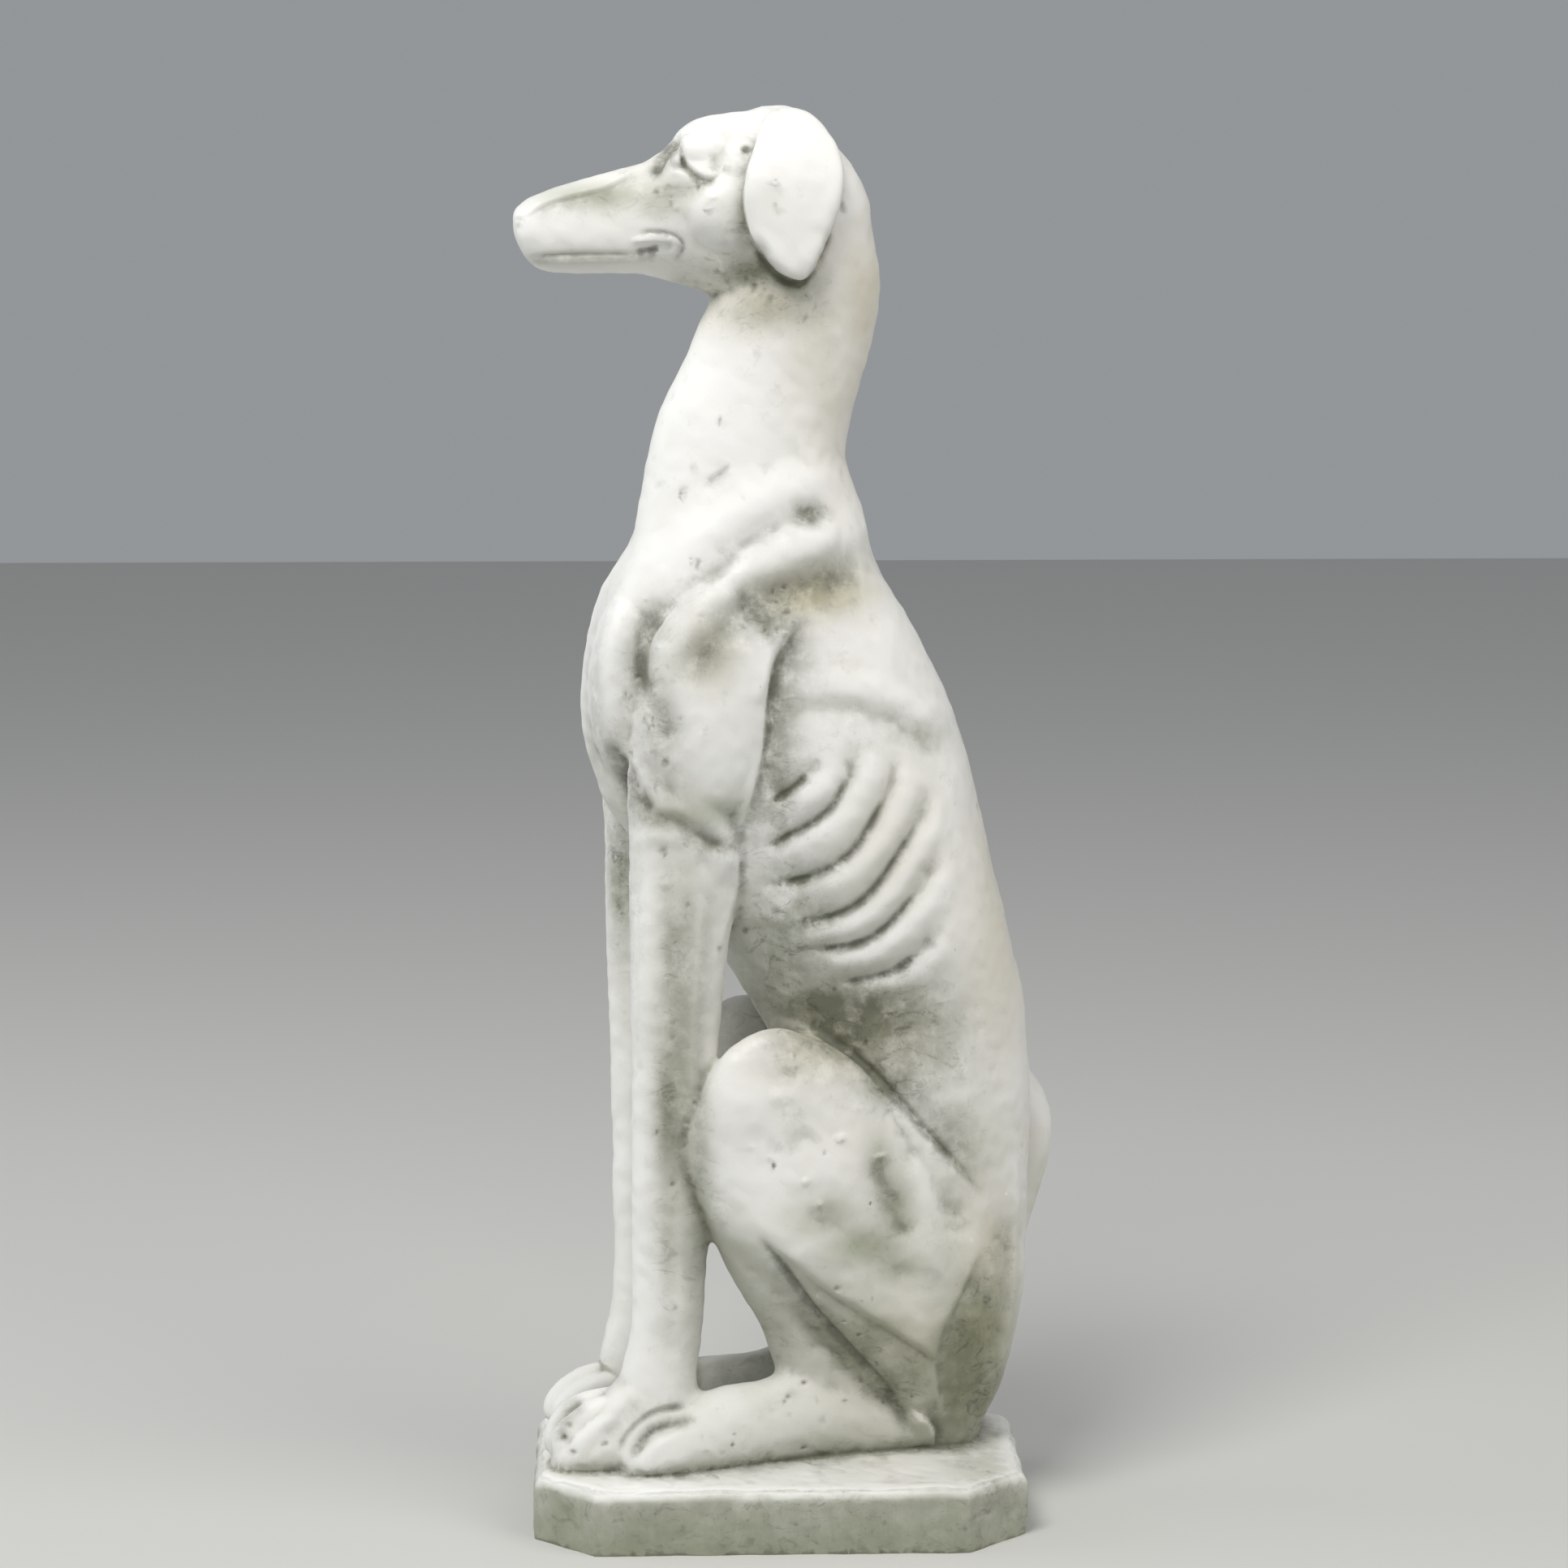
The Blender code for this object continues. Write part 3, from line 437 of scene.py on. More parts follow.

# Stains with no relief of their own, at the belly and the rump's rear partly painted shade: x, z, half
# sizes in x and z, strength
GREY_STAINS = [
    (-18, 655, 30, 11, 0.95),
    (-46, 646, 20, 8, 0.65),
    (8, 648, 16, 13, 0.75),
    (-10, 634, 34, 12, 0.6),
    (-22, 676, 9, 14, 0.55),
    (-66, 692, 14, 9, 0.45),
    (-30, 676, 30, 16, 0.2),
    (-104, 690, 30, 6, 0.3),
    (-8, 468, 16, 12, 0.6),
    # Under the ribs these stains are partly painted shade
    (42, 246, 46, 24, 1.0),
    (0, 300, 22, 44, 1.0),
    (70, 226, 36, 22, 0.65),
    (20, 256, 36, 10, 1.1),
    (58, 214, 22, 16, 1.0),
    (90, 184, 15, 18, 0.45),
    (-4, 372, 8, 52, 0.6),
    (-58, 250, 8, 100, 0.4),
    (-66, 300, 6, 60, 0.4),
    (-50, 130, 12, 70, 0.6),
    (-67, 200, 8, 34, 0.8),
    (-65, 292, 4, 34, 0.7),
    (-66, 130, 8, 50, 0.5),
    (64, 48, 20, 20, 0.85),
    (44, 62, 22, 18, 0.7),
    (22, 80, 20, 16, 0.5),
    # At the rump's rear these stains are partly painted shade
    (106, 36, 20, 30, 1.45),
    (104, 64, 20, 22, 1.3),
    (112, 88, 16, 20, 1.0),
    (121, 112, 10, 18, 0.6),
    (54, 146, 12, 30, 0.35),
    (84, 120, 16, 26, 0.25),
    (24, 10, 70, 12, 0.3),
    (-14, 70, 22, 26, 0.5),
    (-84, 400, 16, 40, 0.35),
    (-73, 432, 14, 40, 0.4),
    (-40, 350, 30, 8, 0.4),
    (-84, 320, 5, 60, 0.4),
    (76, 404, 34, 8, 0.25),
]
TAN_STAINS = [
    (20, 482, 34, 14, 0.9),
    (-44, 452, 18, 22, 0.5),
    (46, 640, 17, 70, 1.0),
    (22, 620, 22, 50, 0.5),
    (112, 110, 24, 70, 0.7),
    (120, 300, 26, 90, 0.5),
    (24, 668, 12, 18, 0.6),
    (26, 590, 16, 40, 0.5),
    (40, 560, 24, 40, 0.35),
    (-10, 640, 40, 20, 0.6),
    (60, 350, 30, 40, 0.35),
    (40, 180, 26, 22, 0.3),
    (30, 240, 60, 30, 0.6),
    (60, 60, 50, 50, 0.6),
    (-60, 240, 14, 120, 0.3),
    (150, 150, 12, 60, 0.6),
    (108, 60, 22, 44, 1.0),
]
# Even olive tone with soft borders, as damp stains and as painted shade on the lower haunch and the rump's
# rear: x, z, half sizes in x and z, strength
DAMP_AND_SHADE_STAINS = [
    # Painted shade on the lower haunch
    (60, 142, 12, 26, 1.3),
    (50, 176, 9, 14, 0.7),
    (20, 142, 26, 14, 1.1),
    (40, 126, 28, 14, 1.5),
    (46, 104, 60, 36, 0.4),
    (60, 112, 28, 14, 1.0),
    (84, 118, 18, 30, 0.5),
    # Painted shade at the rump's rear
    (104, 56, 26, 56, 1.2),
    (98, 100, 12, 34, 0.5),
    (-98, 696, 34, 7, 1.3),
    (-70, 697, 22, 14, 0.7),
    (-110, 662, 44, 5, 0.6),
    (-26, 690, 16, 12, 0.3),
    (-52, 366, 36, 9, 1.0),
    (44, 78, 30, 16, 0.7),
    (104, 172, 20, 26, 0.5),
    (20, 486, 34, 16, 0.6),
    (-40, 456, 14, 24, 0.5),
    (-56, 200, 16, 110, 0.5),
    (0, 26, 100, 26, 0.4),
    (-30, 128, 16, 40, 0.3),
    (60, 330, 36, 44, 0.15),
]
# Painted shade on the far hind foot and what faces inward beside it: x, z, half sizes in x and z, strength
INNER_PAINTED_SHADE = [(-20, 20, 60, 40, 0.45), (-10, 200, 50, 60, 0.35), (-84, 320, 20, 40, 0.7)]
# Painted shade on the plinth's sides, in grey and in olive
PLINTH_SIDE_SHADE_GREY, PLINTH_SIDE_SHADE = 0.6, 1.2
# Painted shade: the plinth darkens in grey and olive except where it faces up, and more toward the ground
PLINTH_SHADE, PLINTH_SHADE_FALL = 1.2, 1.5
PLINTH_SIDE_SHADE_TOP, PLINTH_SIDE_SHADE_RISE = 0.8, 70
# Where the ear joins the skull no dirt gathers: x, z, half sizes in x and z, strength
EAR_ROOT = (-10, 732, 10, 9, 1.0)
# The ears' outer sides stand past this y, where grey stays off and only this share of tan shows
EAR_SIDE, EAR_SIDE_BORDER, EAR_TAN = 37, 4, 0.3
# Painted shade on the dog's undersides, less toward the head
UNDERSIDE_SHADE, UNDERSIDE_FROM, UNDERSIDE_SPAN = 0.9, 0.04, 0.5
UNDERSIDE_SHADE_START, UNDERSIDE_SHADE_HEIGHT, UNDERSIDE_SHADE_LEAST = 1.15, 700, 0.3
# How soon the inner sides of the legs take their painted shade, by how far a surface faces inward
INNER_SHARPNESS = 2
# A darker band where the dog meets the plinth: strength, height, half width, lowest height, most upward
# turn
SEAM_GREY, SEAM_HEIGHT, SEAM_HALF_WIDTH, SEAM_FROM, SEAM_LEVEL = 0.5, 2, 5, -2, 0.9
# Each point is held against its neighbourhood, averaged over this many rounds
HOLLOW_ROUNDS = 24
# How far in metres below it is a full hollow, and above it full wear
HOLLOW_DEPTH, HOLLOW_POWER, WEAR_HEIGHT = 0.0011, 1.2, 0.0009
# What carved dirt and hollows add to the grey and to the deep dirt
DIRT_GREY, HOLLOW_GREY, MOST_GREY, HOLLOW_DEEP = 0.5, 0.5, 1.5, 0.5


def to_world(points):
    """Figure units to metres in the statue's own frame."""
    points = np.asarray(points, float) * UNIT
    cos, sin = math.cos(FIGURE_TURN), math.sin(FIGURE_TURN)
    turned = points @ np.array([[cos, sin, 0], [-sin, cos, 0], [0, 0, 1]])
    return turned + (0, FIGURE_SHIFT, PLINTH_HEIGHT)


def to_figure(points):
    """Metres in the statue's own frame back to figure units."""
    cos, sin = math.cos(FIGURE_TURN), math.sin(FIGURE_TURN)
    moved = np.asarray(points, float) - (0, FIGURE_SHIFT, PLINTH_HEIGHT)
    return moved @ np.array([[cos, -sin, 0], [sin, cos, 0], [0, 0, 1]]) / UNIT


def smooth_through(rows, steps):
    """Rows of values on a smooth curve through the given rows."""
    rows = np.asarray(rows, float)
    padded = np.vstack([2 * rows[0] - rows[1], rows, 2 * rows[-1] - rows[-2]])
    curve = []
    for before, start, end, after in zip(padded, padded[1:], padded[2:], padded[3:]):
        for step in range(steps):
            t = step / steps
            bend = 2 * before - 5 * start + 4 * end - after
            twist = 3 * start - before - 3 * end + after
            curve.append(start + 0.5 * t * (end - before + bend * t + twist * t * t))
    curve.append(rows[-1])
    return np.array(curve)


def skin(bm, rings):
    """A closed body through the rings, with a flat cap at each end."""
    loops = [[bm.verts.new(point) for point in to_world(ring)] for ring in rings]
    count = len(loops[0])
    faces = [bm.faces.new(loops[0][::-1]), bm.faces.new(loops[-1])]
    for low, high in zip(loops, loops[1:]):
        for i in range(count):
            j = (i + 1) % count
            faces.append(bm.faces.new((low[i], low[j], high[j], high[i])))
    bmesh.ops.recalc_face_normals(bm, faces=faces)


def round_angles():
    return np.linspace(0, 2 * math.pi, SECTION_POINTS, endpoint=False)


def upright_form(bm, rows, side=LEFT, shift=0.0, lean=0.0, splay=0.0, fullness=1.0):
    """A form given by level sections, on the dog's left or mirrored to its right."""
    across, along = np.sin(round_angles()), np.cos(round_angles())
    across = np.sign(across) * np.abs(across) ** fullness
    rings = []
    for z, front, back, middle, half, swell in smooth_through(rows, STEPS_BETWEEN_ROWS):
        x = (front + back) / 2 + (back - front) / 2 * along + shift + lean * z
        turned_out = splay * (back - front) / 2 * along
        y = side * (middle + turned_out + half * across * (1 + swell * along))
        rings.append(np.column_stack([x, y, np.full_like(x, z)]))
    skin(bm, rings)


def lying_form(bm, rows, side=LEFT, shift=0.0, rise=1.0):
    """A form given by sections square to X: rise makes it lower or higher."""
    across, along = np.sin(round_angles()), np.cos(round_angles())
    rings = []
    for x, bottom, top, middle, half, swell in smooth_through(rows, STEPS_BETWEEN_ROWS):
        z = rise * ((bottom + top) / 2 + (top - bottom) / 2 * along)
        y = side * (middle + half * across * (1 + swell * along))
        rings.append(np.column_stack([np.full_like(z, x + shift), y, z]))
    skin(bm, rings)


def rounded_mass(bm, mass, side=LEFT):
    """An egg-shaped mass, from a sphere stretched to its half sizes and tilted."""
    (x, y, z), radii, tilt = mass
    made = bmesh.ops.create_uvsphere(bm, u_segments=SPHERE_SEGMENTS, v_segments=SPHERE_RINGS, radius=1.0)
    angle = math.radians(tilt)
    for vert in made["verts"]:
        dx, dy, dz = (value * radius for value, radius in zip(vert.co, radii))
        turned_x = dx * math.cos(angle) - dz * math.sin(angle)
        turned_z = dx * math.sin(angle) + dz * math.cos(angle)
        vert.co = to_world([(x + turned_x, side * (y + dy), z + turned_z)])[0]
    if side == RIGHT:
        faces = {face for vert in made["verts"] for face in vert.link_faces}
        bmesh.ops.reverse_faces(bm, faces=list(faces))


def tube(bm, rows):
    """A round tube along a path of x, y, z and radius."""
    path = smooth_through(rows, STEPS_BETWEEN_ROWS)
    ways = np.gradient(path[:, :3], axis=0)
    rings = []
    for (x, y, z, radius), way in zip(path, ways):
        way = way / np.linalg.norm(way)
        across = np.cross(way, (0, 1, 0))
        across /= np.linalg.norm(across)
        out = np.cross(way, across)
        angle = round_angles()[:, None]
        rings.append((x, y, z) + radius * (np.cos(angle) * across + np.sin(angle) * out))
    skin(bm, rings)


def toes(bm, placing, table, line, side, shift=0.0, rise=1.0, lean=0.0):
    """Four toes over the front of a paw, which draw together toward the ankle by lean."""
    tip_x, middle_y, gather = placing
    for outward, back, share_of_height in table:
        tall = rise * share_of_height
        rows = []
        for along, z, radius in line:
            share = along / line[-1][0]
            y = middle_y + outward * (1 - (1 - gather) * share) + lean * share
            rows.append((tip_x + shift + back + along, side * y, z * tall, radius))
        tube(bm, rows)


def plinth(bm):
    """The block under the dog, with its corners cut and its top edge rounded."""
    half_length, half_width = PLINTH_LENGTH / 2, PLINTH_WIDTH / 2
    plan = []
    for across, along in ((1, 1), (-1, 1), (-1, -1), (1, -1)):
        on_end = (across * half_length, along * (half_width - PLINTH_CORNER))
        on_side = (across * (half_length - PLINTH_CORNER), along * half_width)
        plan += [on_end, on_side] if across * along > 0 else [on_side, on_end]
    bottom = bm.faces.new([bm.verts.new((x, y, -CUT_BELOW)) for x, y in plan])
    raised = bmesh.ops.extrude_face_region(bm, geom=[bottom])["geom"]
    top = [item for item in raised if isinstance(item, bmesh.types.BMVert)]
    bmesh.ops.translate(bm, verts=top, vec=(0, 0, PLINTH_HEIGHT + CUT_BELOW))
    edges = {edge for vert in top for edge in vert.link_edges if edge.other_vert(vert) in top}
    rounding = {"offset": PLINTH_EDGE_RADIUS, "segments": PLINTH_EDGE_SEGMENTS, "affect": "EDGES"}
    bmesh.ops.bevel(bm, geom=list(edges), profile=PLINTH_EDGE_PROFILE, **rounding)
    bmesh.ops.recalc_face_normals(bm, faces=bm.faces[:])


def frozen(shell):
    """The mesh that the object's modifiers make. The object itself is removed."""
    graph = bpy.context.evaluated_depsgraph_get()
    mesh = bpy.data.meshes.new_from_object(shell.evaluated_get(graph))
    bpy.data.objects.remove(shell)
    return mesh


def shown(name, mesh):
    thing = bpy.data.objects.new(name, mesh)
    bpy.context.scene.collection.objects.link(thing)
    return thing


def fused(name, bm, grain, softness):
    """One closed skin over all the forms in bm, softened where they meet."""
    mesh = bpy.data.meshes.new(name)
    bm.to_mesh(mesh)
    bm.free()
    shell = shown(name, mesh)
    remesh = shell.modifiers.new("one skin", "REMESH")
    remesh.mode = "VOXEL"
    remesh.voxel_size = grain
    smooth = shell.modifiers.new("softened", "SMOOTH")
    smooth.factor = SMOOTHING_FACTOR
    smooth.iterations = max(1, round((2 * softness / grain) ** 2))
    return frozen(shell)


def dog_masses():
    bm = bmesh.new()
    upright_form(bm, TRUNK)
    lying_form(bm, HEAD)
    for side in (LEFT, RIGHT):
        upright_form(bm, HAUNCH, side, splay=KNEE_SPLAY)
        upright_form(bm, SHIN, side, SHIN_SHIFT[side])
        upright_form(bm, FORELEG, side, FORELEG_SHIFT[side], FORELEG_LEAN[side])
        lying_form(bm, FORE_PAW, side, FORE_PAW_SHIFT[side], FORE_PAW_RISE[side])
        lying_form(bm, HIND_FOOT, side, rise=HIND_FOOT_RISE[side])
        for mass in (SHOULDER, ELBOW, BREAST, BLADE, CHEEK):
            rounded_mass(bm, mass, side)
    return fused("dog masses", bm, MASS_GRAIN, MASS_SOFTNESS)


def dog_on_plinth():
    """The softened masses with the smaller forms and the plinth fused on."""
    bm = bmesh.new()
    plinth(bm)
    bm.from_mesh(dog_masses())
    tube(bm, TAIL)
    for side in (LEFT, RIGHT):
        upright_form(bm, EAR, side, fullness=EAR_FULLNESS)
        rounded_mass(bm, BROW, side)
        rounded_mass(bm, EYEBALL, side)
        toes(bm, FORE_TIPS, FORE_TOES, FORE_TOE, side, FORE_PAW_SHIFT[side], FORE_PAW_RISE[side])
        toes(bm, HIND_TIPS, HIND_TOES, HIND_TOE, side, rise=HIND_FOOT_RISE[side], lean=HIND_TOES_LEAN)
    return fused("dog on plinth", bm, FINE_GRAIN, DETAIL_SOFTNESS)


def read_vectors(items, attribute):
    values = np.empty(len(items) * 3, np.float32)
    items.foreach_get(attribute, values)
    return values.reshape(-1, 3).astype(float)


def write_points(mesh, points):
    mesh.vertices.foreach_set("co", points.astype(np.float32).ravel())
    mesh.update()


def stroke_field(flat, path, half_width):
    """Which points a stroke reaches, how far left of it each lies, and how strongly it acts there."""
    line = smooth_through(path, STEPS_BETWEEN_PATH_POINTS)
    lengths = np.concatenate([[0], np.cumsum(np.linalg.norm(np.diff(line, axis=0), axis=1))])
    even = np.linspace(0, lengths[-1], max(SHORTEST_PATH_POINTS, round(lengths[-1] / PATH_STEP)))
    line = np.column_stack([np.interp(even, lengths, line[:, k]) for k in (0, 1)])
    ways = np.gradient(line, axis=0)
    ways /= np.linalg.norm(ways, axis=1)[:, None]
    fade_over = max(END_FADE_WIDTHS * half_width, END_FADE_SHARE * lengths[-1])
    fade = np.clip(np.minimum(even, lengths[-1] - even) / fade_over + END_STRENGTH, 0, 1)
    reach = REACH * half_width
    inside = np.flatnonzero(np.all((flat > line.min(0) - reach) & (flat < line.max(0) + reach), axis=1))
    nearest = np.zeros(len(inside), int)
    best = np.full(len(inside), np.inf)
    for index, place in enumerate(line):
        gap = ((flat[inside] - place) ** 2).sum(axis=1)
        closer = gap < best
        best[closer] = gap[closer]
        nearest[closer] = index
    offset = flat[inside] - line[nearest]
    way = ways[nearest]
    left = way[:, 0] * offset[:, 1] - way[:, 1] * offset[:, 0]
    beyond = np.abs((way * offset).sum(axis=1))
    strength = fade[nearest] * np.exp(-((beyond / half_width) ** 2))
    return inside, left, strength


def lift_of(kind, left, size, half_width):
    """How far a stroke moves the surface outward at a distance left of its line."""
    bell = np.exp(-((left / half_width) ** 2))
    if kind == "groove":
        return -size * bell
    if kind == "ridge":
        return size * bell
    standing = 0.5 + 0.5 * np.tanh(left / (EDGE_SHARPNESS * half_width))
    carried = np.exp(-((left / (EDGE_CARRY * half_width)) ** 2))
    return size * (standing * carried - EDGE_SINK * (1 - standing) * bell)


def all_lines():
    lines = SHOULDER_LINES + BACK_LINES + HAUNCH_LINES + LEG_LINES + FACE_LINES
    for rib in RIBS:
        across, down = RIB_BAND
        lines.append(("groove", rib, RIB_DEPTH, RIB_HALF_WIDTH, RIB_DIRT))
        lines.append(("ridge", [(x + across, z + down) for x, z in rib], RIB_RISE, RIB_RISE_WIDTH, 0.0))
        lines.append(("groove", rib[len(rib) // 2 - 1:], RIB_CUT, RIB_CUT_WIDTH, RIB_CUT_DIRT))
    return lines


def all_spots():
    """The named spots, and the small ones scattered over the rough areas."""
    random = np.random.default_rng(PIT_SEED)
    spots = list(SPOTS)
    for x, z, wide, tall, count in ROUGH_AREAS:
        for _ in range(count):
            place = random.normal(0, PIT_SPREAD, 2) * (wide, tall) + (x, z)
            across, high = random.uniform(*PIT_SIZES, 2)
            depth = random.uniform(*PIT_DEPTHS)
            spots.append((*place, across, high, depth, PIT_DIRT if depth > 0 else SCAB_DIRT))
    return spots


def carved(figure, outward):
    """Each point's lift and dirt from the carved lines and spots, in figure units."""
    lift = np.zeros(len(figure))
    dirt = np.zeros(len(figure))
    for side in (LEFT, RIGHT):
        fine = (figure[:, 2] > HEAD_FROM) | (figure[:, 2] < FEET_TO)
        start = np.where(fine, FINE_FACING_FROM, FACING_FROM)
        full = np.where(fine, FINE_FACING_TO, FACING_TO)
        facing = np.clip((-side * outward - start) / (full - start), 0, 1)
        picked = np.flatnonzero((facing > 0) & (side * figure[:, 1] < 0))
        flat = figure[picked][:, [0, 2]]
        for kind, path, size, half_width, grime in all_lines():
            inside, left, strength = stroke_field(flat, path, half_width)
            where = picked[inside]
            lift[where] += lift_of(kind, left, size, half_width) * strength * facing[where]
            spread = np.exp(-((left / (DIRT_SPREAD * half_width)) ** 2))
            if kind == "edge":
                spread *= left < 0
            dirt[where] = np.maximum(dirt[where], grime * spread * strength * facing[where])
        for x, z, wide, tall, depth, grime in all_spots():
            beside, above = np.abs(flat[:, 0] - x), np.abs(flat[:, 1] - z)
            near = np.flatnonzero((beside < SPOT_REACH * wide) & (above < SPOT_REACH * tall))
            bell = np.exp(-((flat[near, 0] - x) / wide) ** 2 - ((flat[near, 1] - z) / tall) ** 2)
            where = picked[near]
            lift[where] -= depth * bell * facing[where]
            dirt[where] = np.maximum(dirt[where], grime * bell * facing[where])
    return lift, dirt


def outward_of(mesh):
    """The vertex normals, and each one's share across the dog."""
    normals = read_vectors(mesh.vertex_normals, "vector")
    cos, sin = math.cos(FIGURE_TURN), math.sin(FIGURE_TURN)
    return normals, normals[:, 1] * cos - normals[:, 0] * sin


def waves(points, length, seed):
    """Soft unevenness between -1 and 1, whose swells are about length apart."""
    random = np.random.default_rng(seed)
    total = np.zeros(len(points))
    for _ in range(WAVE_COUNT):
        way = random.normal(size=3)
        way *= random.uniform(*WAVE_LENGTHS) * 2 * math.pi / length / np.linalg.norm(way)
        total += np.sin(points @ way + random.uniform(0, 2 * math.pi))
    return np.clip(total / WAVE_DIVISOR, -1, 1)


def carve(mesh):
    points = read_vectors(mesh.vertices, "co")
    normals, outward = outward_of(mesh)
    figure = to_figure(points)
    lift, _ = carved(figure, outward)
    on_plinth = figure[:, 2] < 0
    lift += sum(
        np.where(on_plinth, on_block, on_dog) * waves(figure, length, seed)
        for length, seed, on_dog, on_block in WAVES
    )
    write_points(mesh, points + normals * (lift * UNIT)[:, None])


def fewer_faces(mesh):
    shell = shown("fine surface", mesh)
    mesh.calc_loop_triangles()
    fewer = shell.modifiers.new("fewer faces", "DECIMATE")
    fewer.ratio = min(1.0, TRIANGLES / len(mesh.loop_triangles))
    fewer.use_collapse_triangulate = True
    return frozen(shell)


def flat_underside(mesh):
    """Cuts the plinth off level at z = 0 and closes the cut."""
    bm = bmesh.new()
    bm.from_mesh(mesh)
    everything = bm.verts[:] + bm.edges[:] + bm.faces[:]
    level = {"plane_co": (0, 0, 0), "plane_no": (0, 0, 1), "dist": CUT_TOLERANCE}
    bmesh.ops.bisect_plane(bm, geom=everything, clear_inner=True, **level)
    rim = [edge for edge in bm.edges if edge.is_boundary]
    bmesh.ops.contextual_create(bm, geom=rim)
    bmesh.ops.triangulate(bm, faces=[face for face in bm.faces if len(face.verts) > 3])
    bm.to_mesh(mesh)
    bm.free()


def inside_solid_box(mesh):
    """Stretches the fine surface so that it fills the solid's own box and no more."""
    points = read_vectors(mesh.vertices, "co")
    low, high = points.min(axis=0), points.max(axis=0)
    want_low, want_high = np.array(SOLID_LOW), np.array(SOLID_HIGH)
    share = (points - low) / (high - low)
    write_points(mesh, want_low + share * (want_high - want_low))


def hollowness(mesh, points, normals, rounds):
    """How far each point lies below its neighbourhood, in metres."""
    ends = np.empty(len(mesh.edges) * 2, np.int32)
    mesh.edges.foreach_get("vertices", ends)
    first, second = ends[0::2], ends[1::2]
    count = np.bincount(first, minlength=len(points)) + np.bincount(second, minlength=len(points))
    soft = points.copy()
    for _ in range(rounds):
        mean = np.empty_like(soft)
        for k in range(3):
            mean[:, k] = np.bincount(first, soft[second, k], len(points))
            mean[:, k] += np.bincount(second, soft[first, k], len(points))
        soft = (soft + mean / count[:, None]) / 2
    return ((soft - points) * normals).sum(axis=1)


def stain(figure, stains):
    total = np.zeros(len(figure))
    for x, z, wide, tall, strength in stains:
        bell = np.exp(-((figure[:, 0] - x) / wide) ** 2 - ((figure[:, 2] - z) / tall) ** 2)
        total = np.maximum(total, strength * bell)
    return total


def paint_weathering(mesh):
    """Writes how grey, deeply dirty, tan, worn and damp each point is, for the stone's material. The grey
    and the damp also carry painted shade.
    """
    points = read_vectors(mesh.vertices, "co")
    normals, outward = outward_of(mesh)
    figure = to_figure(points)
    height, up = figure[:, 2], normals[:, 2]
    on_dog = points[:, 2] > PLINTH_HEIGHT
    _, dirt = carved(figure, outward)
    hollow = hollowness(mesh, points, normals, HOLLOW_ROUNDS)
    cavity = np.clip(hollow / HOLLOW_DEPTH, 0, 1) ** HOLLOW_POWER * (1 - stain(figure, [EAR_ROOT]))
    off_ear = 1 - np.clip((np.abs(figure[:, 1]) - EAR_SIDE) / EAR_SIDE_BORDER, 0, 1) * (height > HEAD_FROM)
    # Painted shade on the plinth where it doesn't face up
    block = (1 - on_dog) * np.clip(PLINTH_SHADE - up * PLINTH_SHADE_FALL, 0, 1)

    # Painted shade on the dog's undersides, less toward the head
    damp_and_shade = UNDERSIDE_SHADE * on_dog * np.clip((UNDERSIDE_FROM - up) / UNDERSIDE_SPAN, 0, 1)
    damp_and_shade *= np.clip(UNDERSIDE_SHADE_START - height / UNDERSIDE_SHADE_HEIGHT, UNDERSIDE_SHADE_LEAST, 1)
    # Damp stains, and painted shade on the lower haunch and the rump's rear
    damp_and_shade += stain(figure, DAMP_AND_SHADE_STAINS) * on_dog
    # Painted shade on the plinth's sides, darker toward the ground
    damp_and_shade += PLINTH_SIDE_SHADE * block * (PLINTH_SIDE_SHADE_TOP - height / PLINTH_SIDE_SHADE_RISE)

    # Painted shade on the legs' inner sides
    inner = np.clip(np.sign(-figure[:, 1]) * outward * INNER_SHARPNESS, 0, 1) * stain(figure, INNER_PAINTED_SHADE)
    # Grey painted shade on the plinth's sides
    sides = PLINTH_SIDE_SHADE_GREY * (height < SEAM_HEIGHT) * np.clip(PLINTH_SHADE - up * PLINTH_SHADE_FALL, 0, 1)
    # A darker band where the dog meets the plinth
    seam = SEAM_GREY * np.exp(-((height - SEAM_HEIGHT) / SEAM_HALF_WIDTH) ** 2)
    seam *= (np.abs(up) < SEAM_LEVEL) * (height > SEAM_FROM)
    # Stains, plus painted shade on the inner sides and the plinth's sides
    soiled_and_shaded = stain(figure, GREY_STAINS) * off_ear + inner + sides + seam
    grey = np.clip(DIRT_GREY * dirt + HOLLOW_GREY * cavity + soiled_and_shaded, 0, MOST_GREY)

    deep = np.clip(dirt + HOLLOW_DEEP * cavity, 0, 1)
    wear = np.clip(-hollow / WEAR_HEIGHT, 0, 1)
    tan = np.clip(stain(figure, TAN_STAINS) * (EAR_TAN + (1 - EAR_TAN) * off_ear), 0, 1)
    for name, values in (("grey", grey), ("deep", deep), ("tan", tan), ("wear", wear), ("damp_and_shade", damp_and_shade)):
        layer = mesh.attributes.new(name, "FLOAT", "POINT")
        layer.data.foreach_set("value", values.astype(np.float32))


